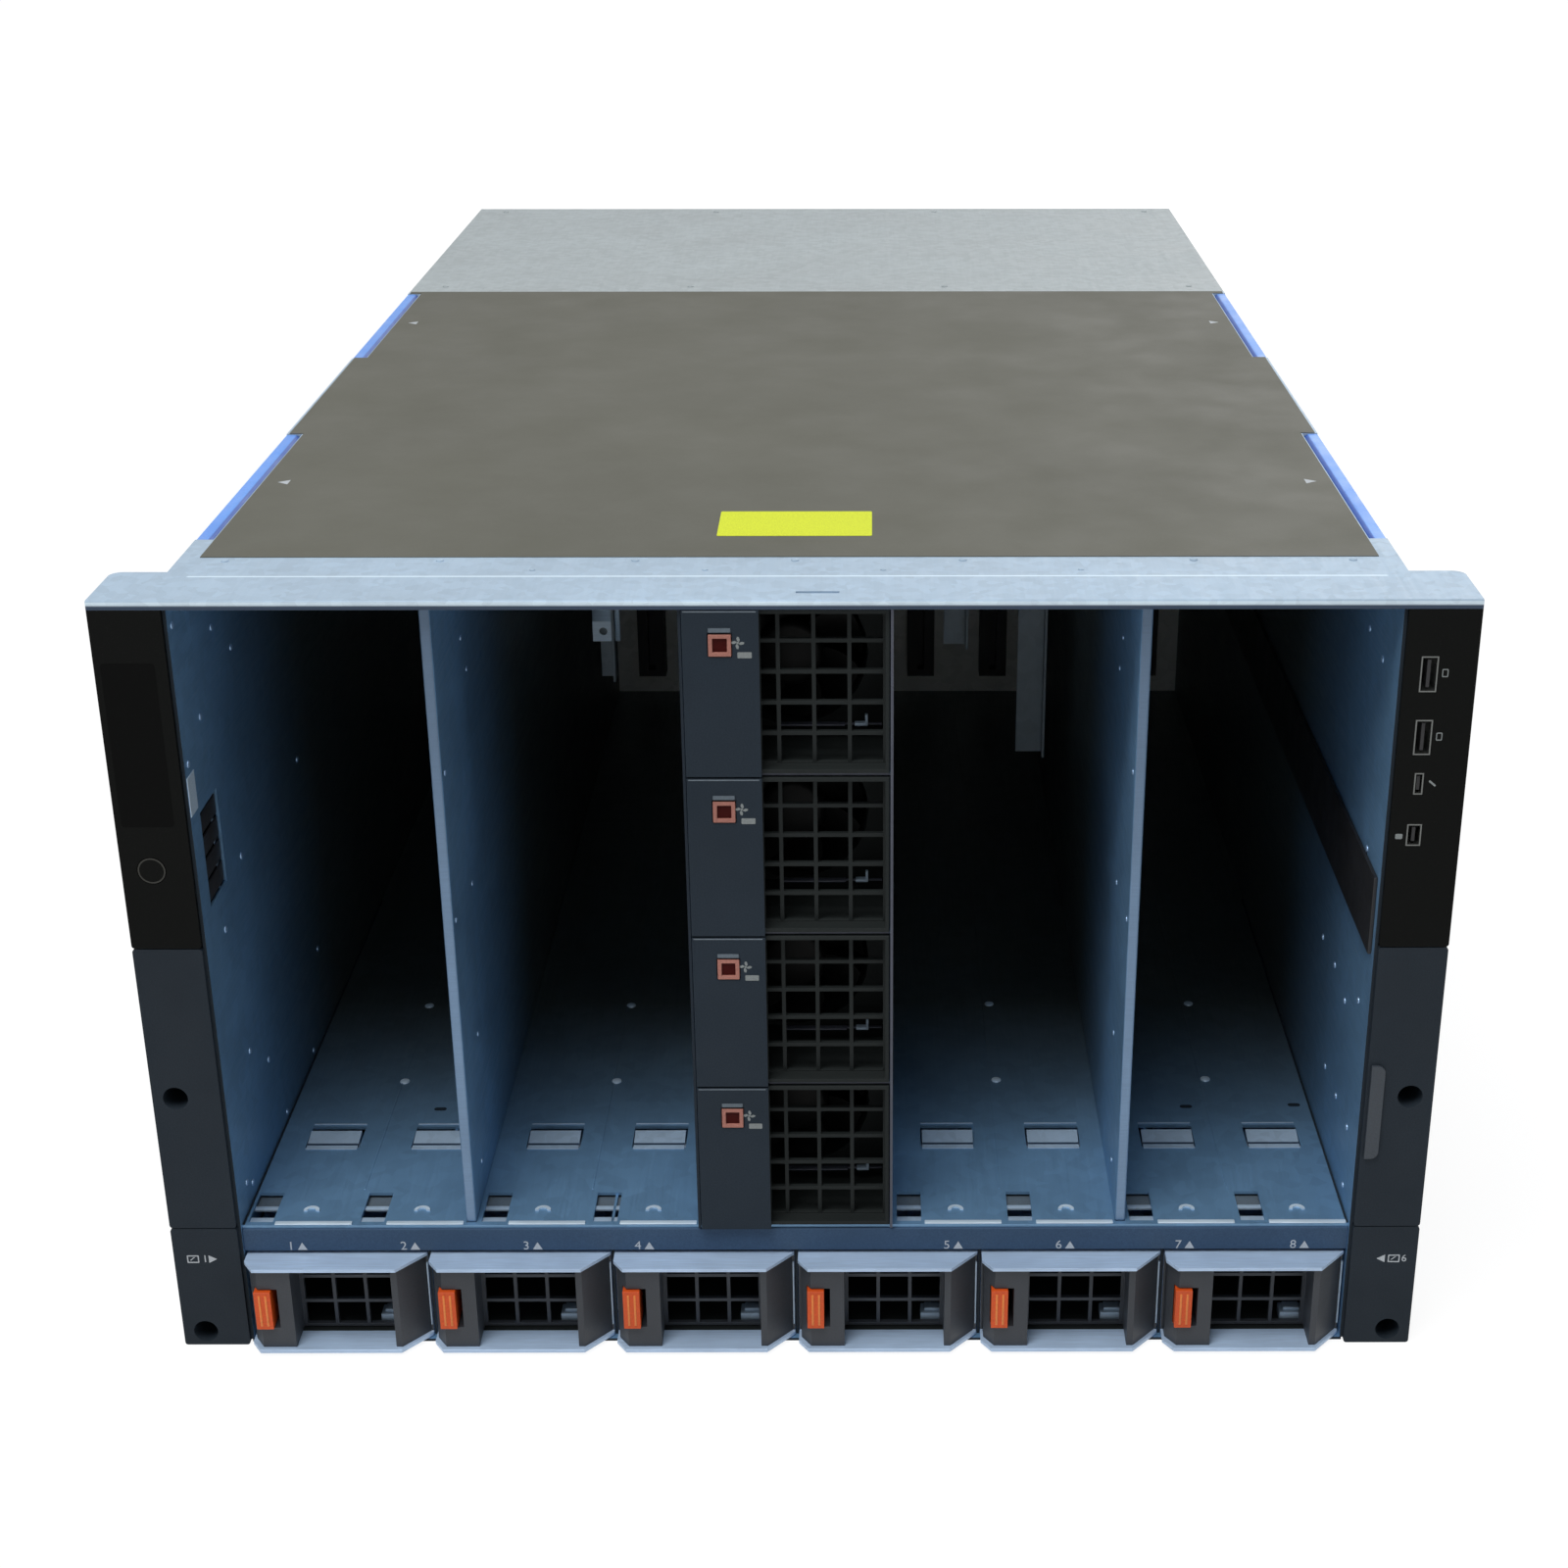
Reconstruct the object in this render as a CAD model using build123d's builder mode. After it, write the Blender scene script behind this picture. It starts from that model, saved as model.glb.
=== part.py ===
from build123d import *
import math
import os

os.makedirs("parts", exist_ok=True)

# Blade server chassis, seven rack units high, in millimetres.
# X runs to the right, Y from the front to the rear, Z up. The origin is the bottom centre of the box
# around the whole object. Depths are counted backwards from the front face of the rack ears.

# Overall envelope
rack_width = 482.6
body_width = 445.0
chassis_height = 307.4
chassis_depth = 812.0
psu_nose = 8.0
rear_overhang = 8.0

# Sheet stock and clearances. Pins, hubs and ducts are drawn with this many sides, which keeps facets few
sheet = 1.2
slide_gap = 0.3
pivot_gap = 0.05
fine_sides = 12
broad_sides = 24
seam_gap = 0.4

# Side walls, rack ears and their covers
wall_cavity = 5.6
skin_front = 2.0
aperture_front = 14.0
aperture_length = 24.0
aperture_base = 184.0
aperture_height = 38.0
ear_depth = 33.0
ear_plate = 2.0
ear_leg = 30.0
rack_hole_spacing = 465.1
rack_hole_low = 6.35
rack_hole_rise = 104.775
rack_hole_radius = 3.4
well_radius = 4.7
well_wall = 1.4
panel_wall = 2.0
panel_seam = 174.0
cover_seam = 53.5
panel_round = 1.2

# Top covers
lip_drop = 3.4
lip_round = 4.5
lip_slot_length = 15.2
lip_slot_width = 2.2
lip_slot_x = 11.0
lip_slot_depth = 9.0
cover_split = 541.0
film = 0.3
film_front = 54.0
film_margin = 1.2

# Lift handles
handle_front_start = 77.0
handle_rear_start = 380.0
handle_length = 156.0
handle_barrel = 3.1
handle_pin = 1.5
handle_pin_length = 6.0
handle_lug = 8.0
handle_inset = 0.2
handle_axis_drop = 2.2
handle_plate = 3.2
handle_drop = 46.0
handle_corner = 10.0
handle_slot_length = 104.0
handle_slot_width = 20.0
handle_notch = 14.0

# Sled bays
fan_column = 73.0
cage_sheet = 1.0
divider = 4.0
divider_skin = 1.0
divider_front = 6.0
floor_front = 4.0
bulkhead_depth = 600.0
key_slot_width = 9.5
key_slot_length = 21.0
key_slot_depth = 6.5
key_slot_offset = 1.8
lance_width = 22.0
lance_length = 17.0
lance_depth = 62.0
lance_offset = 1.5
lance_tab = 11.0
lance_rise = 1.6
lance_gap = 0.6
strip_front = 3.0
strip_thick = 2.0
strip_height = 9.8
strip_gap = 1.4

# Connectors at the back of the bays
window_width = 26.0
window_height = 90.0
window_base = 128.0
connector_width = 16.0
connector_height = 56.0
connector_base = 14.0
connector_length = 12.0
connector_mouth = 4.0
guide_pin = 3.0
guide_pin_length = 26.0
guide_pin_rise = 12.0

# Control column and port column
button_radius = 5.0
button_flange = 6.4
button_x = 230.3
button_z = 205.3
button_body = 5.0
port_x = 224.6
usb_width = 6.4
usb_height = 13.6
usb_upper_z = 279.9
usb_lower_z = 256.2
small_port_width = 3.6
small_port_height = 8.6
small_port_z = 238.5
video_port_width = 5.6
video_port_height = 8.8
video_port_z = 218.6
shell_wall = 0.5
shell_depth = 12.0
shell_inset = 0.3
shell_gap = 0.15
tongue_thick = 1.2
tag_x = 219.6
tag_low = 84.6
tag_height = 40.0
tag_head_width = 5.2
tag_head = 1.2
tag_blade = 1.6
tag_blade_height = 35.0
tag_blade_length = 27.0
tag_corner = 3.0
raceway_low = 168.0
raceway_height = 31.0
raceway_thick = 1.5
raceway_front = 6.0

# Front fan modules
fan_count = 4
shelf = 1.0
shelf_front = 4.0
shelf_length = 186.0
cage_front = 1.6
fan_wall = 1.6
fan_plate = 2.5
fan_plate_width = 26.9
fan_length = 180.0
fan_plate_gap = 0.6
grille_depth = 8.0
grille_thick = 2.0
grille_pitch = 12.6
grille_bar = 1.5
release_size = 8.0
release_recess = 5.2
release_recess_depth = 0.8
release_proud = 0.5
release_flange = 11.0
release_flange_thick = 1.0
release_offset = 13.7
release_drop = 13.0
release_lip = 1.6
shroud_depth = 46.0
shroud_length = 14.0
front_rotor_radius = 27.4
front_hub_radius = 12.5
rotor_blades = 7
rotor_gap = 0.8
blade_thick = 1.2
blade_sag = 2.0
front_rotor_depth = 43.0
front_rotor_length = 20.0
front_chord = 13.0
shaft_radius = 2.0
bearing_radius = 6.0
bearing_length = 10.0
spider_bar = 5.0
spider_thick = 4.0
spider_gap = 3.0

# Power supplies
psu_count = 6
psu_height = 38.6
psu_divider = 1.0
psu_case_front = 5.0
psu_length = 395.0
psu_skin = 1.0
psu_plate = 1.5
psu_rail = 5.0
psu_rail_thick = 1.0
nose_left_run = 4.0
nose_left_back = 6.0
nose_right_run = 10.5
nose_right_back = 12.0
bezel_set = 2.0
left_post = 17.0
right_post = 12.0
psu_grille_depth = 8.0
psu_grille_thick = 2.0
psu_columns = 3
psu_rows = 3
psu_bar = 1.4
vent_width = 5.0
vent_height = 26.0
vent_count = 5
latch_width = 6.5
latch_height = 17.0
latch_left = 2.6
latch_throw_gap = 2.3
latch_pin = 1.2
latch_boss = 2.6
latch_pivot_depth = 5.0
latch_proud = 1.6
latch_pin_reach = 3.0
board_thick = 1.6
plug_width = 40.0
plug_height = 14.0
plug_length = 6.0

# Rear face
rear_margin = 4.0
rear_web = 4.0
rear_side_margin = 2.5
rear_lap = 1.5
rear_plate = 1.5
rear_rim = 1.2
rear_rim_depth = 10.0
io_height = 33.0
rear_fan_count = 5
rear_fan_size = 80.0
rear_fan_depth = 38.0
rear_fan_wall = 2.0
rear_hub_radius = 16.0
rear_shaft_radius = 2.5
rear_rotor_length = 20.0
rear_chord = 17.0
rear_rotor_gap = 4.0
guard_bar = 3.0
guard_wire = 1.6
guard_rings = 2
motor_depth = 8.0
bearing_depth = 6.0
module_count = 4
module_height = 26.0
jack_width = 14.0
jack_height = 11.5
jack_pitch = 20.0
jack_count = 3
inlet_width = 30.0
inlet_height = 24.0
inlet_row = 28.0
inlet_depth = 27.0
inlet_wall = 2.6
inlet_back = 4.0
blade_width = 2.0
blade_height = 6.5
blade_length = 13.0
blade_pitch = 7.5
pull_width = 30.0
pull_thick = 2.5
pull_round = 3.0
pull_x = 150.0

# Derived widths
body_half = body_width / 2
rack_half = rack_width / 2
wall_depth = wall_cavity + 2 * sheet
inner_half = body_half - wall_depth
ear_inner = inner_half + sheet
ear_width = rack_half - ear_inner
ear_mid = (rack_half + ear_inner) / 2
cage_half = fan_column / 2 + cage_sheet
bay_width = (inner_half - cage_half - divider) / 2
slot_pitch = bay_width / 2
divider_x = cage_half + bay_width + divider / 2
handle_axis_x = body_half - handle_inset - handle_barrel
rack_hole_x = rack_hole_spacing / 2

# Derived heights
lip_under = chassis_height - sheet
cover_under = lip_under - sheet
base_top = sheet
psu_bottom = base_top + slide_gap
psu_top = psu_bottom + psu_height
floor_under = psu_top + strip_gap + strip_height
floor_top = floor_under + sheet
bay_height = cover_under - floor_top
wall_height = cover_under - base_top
lip_bottom = chassis_height - lip_drop
fan_pitch = (lip_bottom - floor_top) / fan_count
fan_height = fan_pitch - shelf - 2 * slide_gap
fan_width = fan_column - 2 * slide_gap
handle_axis_z = cover_under - handle_axis_drop
rack_hole_high = rack_hole_low + rack_hole_rise

# Derived depths
overall_depth = psu_nose + chassis_depth + rear_overhang
y_face = psu_nose - overall_depth / 2
cover_box = ear_depth - ear_plate
psu_rear = psu_case_front + psu_length
board_front = psu_rear + slide_gap + plug_length
handle_starts = (handle_front_start, handle_rear_start)
psu_pitch = 2 * inner_half / psu_count
psu_width = psu_pitch - psu_divider - 2 * slide_gap

# Left edges of the four double bays and of the eight sled slots
bay_edges = (-inner_half, -cage_half - bay_width, cage_half, cage_half + bay_width + divider)
slot_edges = [edge + step * slot_pitch for edge in bay_edges for step in (0, 1)]


def y_at(depth):
    """Model Y of a point this far behind the front face of the rack ears."""
    return y_face + depth


def front_plane(depth, x=0.0, z=0.0):
    """Plane that faces the viewer at a depth, with X to the right and Z up."""
    return Plane(origin=(x, y_at(depth), z), x_dir=(1, 0, 0), z_dir=(0, -1, 0))


def save(piece, name):
    """Label a finished piece and write it."""
    piece.label = name
    export_step(piece, f"parts/{name}.step")


# Base pan under the whole body, narrower between the ear columns
with BuildPart() as base_pan:
    with BuildSketch(Plane.XY):
        with Locations((0, y_at((skin_front + ear_depth) / 2))):
            Rectangle(2 * inner_half + sheet, ear_depth - skin_front)
        with Locations((0, y_at((ear_depth + chassis_depth) / 2))):
            Rectangle(body_width, chassis_depth - ear_depth)
    extrude(amount=sheet)
save(base_pan.part, "base_pan")


def make_side_wall(side, name):
    """Folded double skin, open at the top, with windows and pivot lugs for the lift handles."""
    sill = handle_axis_z - handle_drop - handle_notch
    lug_mid = (handle_lug + handle_length) / 2 + slide_gap
    with BuildPart() as wall:
        with BuildSketch(front_plane(ear_depth)):
            with Locations((side * (body_half - wall_depth / 2), base_top + wall_height / 2)):
                Rectangle(wall_depth, wall_height)
            with Locations((side * (body_half - wall_depth / 2), base_top + sheet + wall_height / 2)):
                Rectangle(wall_cavity, wall_height, mode=Mode.SUBTRACT)
        extrude(amount=ear_depth + sheet - chassis_depth)
        # The inner skin runs forward beside the ear covers
        with BuildSketch(front_plane(skin_front)):
            with Locations((side * (inner_half + sheet / 2), base_top + wall_height / 2)):
                Rectangle(sheet, wall_height)
        extrude(amount=skin_front - ear_depth)
        for start in handle_starts:
            middle = y_at(start + handle_length / 2)
            with BuildSketch(Plane.YZ.offset(side * body_half)):
                with Locations((middle, (sill + cover_under) / 2)):
                    Rectangle(handle_length + 2 * slide_gap, cover_under - sill)
            extrude(amount=-side * sheet, mode=Mode.SUBTRACT)
            with BuildSketch(Plane.YZ.offset(side * ear_inner)):
                with Locations((middle - lug_mid, cover_under - handle_lug / 2)):
                    Rectangle(handle_lug, handle_lug)
                with Locations((middle + lug_mid, cover_under - handle_lug / 2)):
                    Rectangle(handle_lug, handle_lug)
            extrude(amount=side * wall_cavity)
            with BuildSketch(front_plane(start - slide_gap - handle_lug)):
                with Locations((side * handle_axis_x, handle_axis_z)):
                    RegularPolygon(handle_pin + pivot_gap, fine_sides, major_radius=False)
            extrude(amount=-(handle_length + 2 * slide_gap + 2 * handle_lug), mode=Mode.SUBTRACT)
        # Only the left skin has the window of the front connector
        if side < 0:
            aperture_y = y_at(aperture_front + aperture_length / 2)
            with BuildSketch(Plane.YZ.offset(-ear_inner)):
                with Locations((aperture_y, aperture_base + aperture_height / 2)):
                    Rectangle(aperture_length, aperture_height)
            extrude(amount=sheet, mode=Mode.SUBTRACT)
    save(wall.part, name)


make_side_wall(-1, "left_side_wall")
make_side_wall(1, "right_side_wall")


def make_lift_handle(side, start, name):
    """Blue plastic handle: a hinge barrel with end pins and a flat grip that hangs in the wall."""
    with BuildPart() as handle:
        with BuildSketch(front_plane(start, side * handle_axis_x, handle_axis_z)):
            RegularPolygon(handle_barrel, broad_sides)
            # Square outer edge, level with the side of the body
            with Locations((side * handle_barrel / 2, handle_barrel / 2)):
                Rectangle(handle_barrel, handle_barrel)
        extrude(amount=-handle_length)
        with BuildSketch(Plane.YZ.offset(side * handle_axis_x - handle_plate / 2)) as grip:
            with Locations((y_at(start + handle_length / 2), handle_axis_z - handle_drop / 2)):
                Rectangle(handle_length, handle_drop)
            fillet(grip.vertices().sort_by(Axis.Y)[:2], handle_corner)
            with Locations((y_at(start + handle_length / 2), handle_axis_z - handle_drop / 2)):
                SlotOverall(handle_slot_length, handle_slot_width, mode=Mode.SUBTRACT)
        extrude(amount=handle_plate)
        with BuildSketch(front_plane(start - handle_pin_length, side * handle_axis_x, handle_axis_z)):
            RegularPolygon(handle_pin, fine_sides)
        extrude(amount=-(handle_length + 2 * handle_pin_length))
    save(handle.part, name)


make_lift_handle(-1, handle_front_start, "lift_handle_front_left")
make_lift_handle(1, handle_front_start, "lift_handle_front_right")
make_lift_handle(-1, handle_rear_start, "lift_handle_rear_left")
make_lift_handle(1, handle_rear_start, "lift_handle_rear_right")

# Both handle notches of one end of the top cover
notch_width = body_half - ear_inner
notch_length = handle_length + 2 * slide_gap
notch_x = body_half - notch_width / 2
notches = [(side * notch_x, y_at(start + handle_length / 2)) for side in (-1, 1) for start in handle_starts]
corner_length = handle_front_start - film_front
film_corners = [(side * notch_x, y_at(film_front + corner_length / 2)) for side in (-1, 1)]

# Front top cover, narrow between the ear columns and as wide as the body behind them
with BuildPart() as front_top_cover:
    with BuildSketch(Plane.XY.offset(cover_under)):
        with Locations((0, y_at((sheet + ear_depth) / 2))):
            Rectangle(2 * inner_half + sheet, ear_depth - sheet)
        with Locations((0, y_at((ear_depth + cover_split) / 2))):
            Rectangle(body_width, cover_split - ear_depth)
        with Locations(*notches):
            Rectangle(notch_width, notch_length, mode=Mode.SUBTRACT)
    extrude(amount=sheet)
save(front_top_cover.part, "front_top_cover")

# Dark film stuck on the front cover
with BuildPart() as cover_film:
    with BuildSketch(Plane.XY.offset(lip_under)):
        with Locations((0, y_at((film_front + cover_split) / 2))):
            Rectangle(body_width - 2 * film_margin, cover_split - film_front)
        with Locations(*notches):
            Rectangle(notch_width + film_margin, notch_length, mode=Mode.SUBTRACT)
        with Locations(*film_corners):
            Rectangle(notch_width + film_margin, corner_length, mode=Mode.SUBTRACT)
    extrude(amount=film)
save(cover_film.part, "cover_film")

# Plain rear top cover
with BuildPart() as rear_top_cover:
    with BuildSketch(Plane.XY.offset(cover_under)):
        with Locations((0, y_at((cover_split + chassis_depth) / 2))):
            Rectangle(body_width, chassis_depth - cover_split)
    extrude(amount=sheet)
save(rear_top_cover.part, "rear_top_cover")

# Front lip: a folded strip over the cover's front edge and both ear columns
with BuildPart() as front_lip:
    with BuildSketch(Plane.YZ.offset(-rack_half)):
        with Locations((y_at(ear_depth / 2), lip_under + sheet / 2)):
            Rectangle(ear_depth, sheet)
        with Locations((y_at(sheet / 2), chassis_height - lip_drop / 2)):
            Rectangle(sheet, lip_drop)
    extrude(amount=rack_width)
    fillet(front_lip.edges().filter_by(Axis.Z).group_by(Axis.Y)[-1], lip_round)
    fillet(front_lip.edges().filter_by(Axis.X).group_by(Axis.Z)[-1].sort_by(Axis.Y)[0], sheet * 0.8)
    with BuildSketch(Plane.XY.offset(chassis_height)):
        with Locations((lip_slot_x, y_at(lip_slot_depth))):
            Rectangle(lip_slot_length, lip_slot_width)
    extrude(amount=-sheet, mode=Mode.SUBTRACT)
save(front_lip.part, "front_lip")

# Rack ears: a flange that bolts to the rack posts and a leg inside each side wall
with BuildPart() as rack_ears:
    for side in (-1, 1):
        with BuildSketch(front_plane(cover_box)):
            with Locations((side * ear_mid, lip_under / 2)):
                Rectangle(ear_width, lip_under)
            with Locations((side * rack_hole_x, rack_hole_low), (side * rack_hole_x, rack_hole_high)):
                Circle(rack_hole_radius, mode=Mode.SUBTRACT)
        extrude(amount=-ear_plate)
        with BuildSketch(front_plane(ear_depth)):
            with Locations((side * (body_half - sheet - ear_plate / 2), sheet + base_top + wall_height / 2)):
                Rectangle(ear_plate, wall_height - 2 * sheet)
        extrude(amount=-ear_leg)
save(rack_ears.part, "rack_ears")


def ear_shell(side, low, high):
    """Moulded cover over one stretch of an ear, open at the back."""
    with BuildPart() as shell:
        with BuildSketch(front_plane(0)):
            with Locations((side * ear_mid, (low + high) / 2)):
                RectangleRounded(ear_width, high - low, panel_round)
        extrude(amount=-cover_box)
        with BuildSketch(front_plane(panel_wall)):
            with Locations((side * ear_mid, (low + high) / 2)):
                Rectangle(ear_width - 2 * panel_wall, high - low - 2 * panel_wall)
        extrude(amount=panel_wall - cover_box, mode=Mode.SUBTRACT)
    return shell.part


# Both glossy panels reach the lip, and the lip's front edge drops into a step in them
left_panel_shell = ear_shell(-1, panel_seam, lip_under)
right_panel_shell = ear_shell(1, panel_seam, lip_under)
rebate_z = lip_under - (lip_drop - sheet) / 2

# Glossy control panel on the left ear, with the power button's hole
with BuildPart() as control_panel:
    add(left_panel_shell)
    with BuildSketch(front_plane(0, -ear_mid, rebate_z)):
        Rectangle(ear_width, lip_drop - sheet)
    extrude(amount=-sheet, mode=Mode.SUBTRACT)
    with BuildSketch(front_plane(0, -button_x, button_z)):
        Circle(button_radius + slide_gap)
    extrude(amount=-panel_wall, mode=Mode.SUBTRACT)
save(control_panel.part, "control_panel")

# Power button, kept in by a flange behind the panel
with BuildPart() as power_button:
    with BuildSketch(front_plane(0, -button_x, button_z)):
        Circle(button_radius)
    extrude(amount=-button_body)
    with BuildSketch(front_plane(panel_wall + slide_gap, -button_x, button_z)):
        Circle(button_flange)
    extrude(amount=panel_wall + slide_gap - button_body)
save(power_button.part, "power_button")

# Height, width and length of each port from the top down
ports = (
    (usb_upper_z, usb_width, usb_height),
    (usb_lower_z, usb_width, usb_height),
    (small_port_z, small_port_width, small_port_height),
    (video_port_z, video_port_width, video_port_height),
)

# Glossy port panel on the right ear
with BuildPart() as port_panel:
    add(right_panel_shell)
    with BuildSketch(front_plane(0, ear_mid, rebate_z)):
        Rectangle(ear_width, lip_drop - sheet)
    extrude(amount=-sheet, mode=Mode.SUBTRACT)
    for height, width, length in ports:
        with BuildSketch(front_plane(0, port_x, height)):
            Rectangle(width, length)
        extrude(amount=-panel_wall, mode=Mode.SUBTRACT)
save(port_panel.part, "port_panel")

# Metal shells of the four ports, each with its contact tongue
with BuildPart() as port_shells:
    for height, width, length in ports:
        outer_width = width - 2 * shell_gap
        outer_length = length - 2 * shell_gap
        with BuildSketch(front_plane(shell_inset, port_x, height)):
            Rectangle(outer_width, outer_length)
        extrude(amount=-shell_depth)
        with BuildSketch(front_plane(shell_inset, port_x, height)):
            Rectangle(outer_width - 2 * shell_wall, outer_length - 2 * shell_wall)
        extrude(amount=2 * shell_wall - shell_depth, mode=Mode.SUBTRACT)
        with BuildSketch(front_plane(shell_inset + 2 * shell_wall, port_x, height)):
            Rectangle(tongue_thick, outer_length - 6 * shell_wall)
        extrude(amount=2 * shell_wall - shell_depth)
save(port_shells.part, "port_shells")


# Matte covers on the lower ears: a tall one and a short one on each side
cover_shells = [ear_shell(side, 0, cover_seam) for side in (-1, 1)]
cover_shells += [ear_shell(side, cover_seam + seam_gap, panel_seam - seam_gap) for side in (-1, 1)]
rack_holes = [(side * rack_hole_x, z) for side in (-1, 1) for z in (rack_hole_low, rack_hole_high)]

with BuildPart() as ear_covers:
    for shell in cover_shells:
        add(shell)
    # Wells that let a screwdriver reach the rack screws
    with BuildSketch(front_plane(0)):
        with Locations(*rack_holes):
            Rectangle(2 * (well_radius + well_wall), 2 * (well_radius + well_wall))
    extrude(amount=-cover_box)
    with BuildSketch(front_plane(0)):
        with Locations(*rack_holes):
            Circle(well_radius)
    extrude(amount=-cover_box, mode=Mode.SUBTRACT)
    # Slot for the service tag in the tall right cover
    with BuildSketch(front_plane(0, tag_x, tag_low + tag_height / 2)):
        Rectangle(tag_blade + 2 * slide_gap, tag_blade_height + 2 * slide_gap)
    extrude(amount=-panel_wall, mode=Mode.SUBTRACT)
save(ear_covers.part, "ear_covers")

# Pull-out service tag: a thin blade with a finger tab
with BuildPart() as service_tag:
    with BuildSketch(front_plane(-tag_head, tag_x, tag_low + tag_height / 2)) as tab:
        Rectangle(tag_head_width, tag_height)
        fillet(tab.vertices().sort_by(Axis.X)[-2:], tag_corner)
    extrude(amount=-tag_head)
    with BuildSketch(front_plane(0, tag_x, tag_low + tag_height / 2)):
        Rectangle(tag_blade, tag_blade_height)
    extrude(amount=-tag_blade_length)
save(service_tag.part, "service_tag")

# Bay floor with a key slot and a lanced spring tab in every sled slot
with BuildPart() as bay_floor:
    floor_length = bulkhead_depth + sheet - floor_front
    with BuildSketch(Plane.XY.offset(floor_under)):
        with Locations((0, y_at(floor_front + floor_length / 2))):
            Rectangle(2 * inner_half, floor_length)
        for edge in slot_edges:
            key_x = edge + key_slot_offset + key_slot_width / 2
            with Locations((key_x, y_at(key_slot_depth + key_slot_length / 2))):
                Rectangle(key_slot_width, key_slot_length, mode=Mode.SUBTRACT)
            lance_x = edge + slot_pitch / 2 + lance_offset
            with Locations((lance_x, y_at(lance_depth + lance_length / 2))):
                Rectangle(lance_width, lance_length, mode=Mode.SUBTRACT)
    extrude(amount=sheet)
    for edge in slot_edges:
        tab_left = edge + slot_pitch / 2 + lance_offset - lance_width / 2 + lance_gap
        with BuildSketch(Plane.YZ.offset(tab_left)):
            with BuildLine():
                Polyline(
                    (y_at(lance_depth), floor_under),
                    (y_at(lance_depth), floor_top),
                    (y_at(lance_depth + lance_tab), floor_top + lance_rise),
                    (y_at(lance_depth + lance_tab), floor_under + lance_rise),
                    close=True,
                )
            make_face()
        extrude(amount=lance_width - 2 * lance_gap)
save(bay_floor.part, "bay_floor")

# Bay dividers: folded sheets, closed along the front edge
with BuildPart() as bay_dividers:
    divider_length = bulkhead_depth - divider_front
    with BuildSketch(Plane.XY.offset(floor_top)):
        for side in (-1, 1):
            with Locations((side * divider_x, y_at(divider_front + divider_length / 2))):
                Rectangle(divider, divider_length)
            with Locations((side * divider_x, y_at(divider_front + divider_skin + divider_length / 2))):
                Rectangle(divider - 2 * divider_skin, divider_length, mode=Mode.SUBTRACT)
    extrude(amount=bay_height)
save(bay_dividers.part, "bay_dividers")

# Fan cage: two full-depth walls and the shelves that carry the fan modules
with BuildPart() as fan_cage:
    with BuildSketch(front_plane(cage_front)):
        for side in (-1, 1):
            with Locations((side * (cage_half - cage_sheet / 2), floor_top + bay_height / 2)):
                Rectangle(cage_sheet, bay_height)
    extrude(amount=cage_front - bulkhead_depth)
    with BuildSketch(front_plane(shelf_front)):
        for level in range(1, fan_count):
            with Locations((0, floor_top + level * fan_pitch)):
                Rectangle(fan_column, shelf)
    extrude(amount=-shelf_length)
save(fan_cage.part, "fan_cage")

# Dividers between the power supplies, each with guide rails over its neighbours
with BuildPart() as psu_dividers:
    psu_rail_z = psu_top + slide_gap + psu_rail_thick / 2
    with BuildSketch(front_plane(strip_front + strip_thick)):
        for index in range(1, psu_count):
            with Locations((index * psu_pitch - inner_half, (base_top + floor_under) / 2)):
                Rectangle(psu_divider, floor_under - base_top)
            with Locations((index * psu_pitch - inner_half, psu_rail_z)):
                Rectangle(psu_divider + 2 * psu_rail, psu_rail_thick)
    extrude(amount=strip_front + strip_thick - board_front)
save(psu_dividers.part, "psu_dividers")

# Strip with the slot numbers, under the front edge of the bay floor
with BuildPart() as slot_number_strip:
    with BuildSketch(front_plane(strip_front)):
        with Locations((0, floor_under - strip_height / 2)):
            Rectangle(2 * inner_half, strip_height)
    extrude(amount=-strip_thick)
save(slot_number_strip.part, "slot_number_strip")

# Flat cable raceway along the right bay wall
with BuildPart() as cable_raceway:
    with BuildSketch(Plane.YZ.offset(inner_half)):
        with Locations((y_at((raceway_front + bulkhead_depth) / 2), raceway_low + raceway_height / 2)):
            Rectangle(bulkhead_depth - raceway_front, raceway_height)
    extrude(amount=-raceway_thick)
save(cable_raceway.part, "cable_raceway")

# Bulkhead at the back of the bays, with a fabric window above each slot's connector
with BuildPart() as connector_bulkhead:
    with BuildSketch(front_plane(bulkhead_depth)):
        with Locations((0, floor_top + bay_height / 2)):
            Rectangle(2 * inner_half, bay_height)
        for edge in slot_edges:
            with Locations((edge + slot_pitch / 2, floor_top + window_base + window_height / 2)):
                Rectangle(window_width, window_height, mode=Mode.SUBTRACT)
        for level in range(fan_count):
            with Locations((0, floor_top + (level + 0.5) * fan_pitch)):
                Rectangle(fan_column - window_width, fan_height, mode=Mode.SUBTRACT)
    extrude(amount=-sheet)
save(connector_bulkhead.part, "connector_bulkhead")

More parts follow.
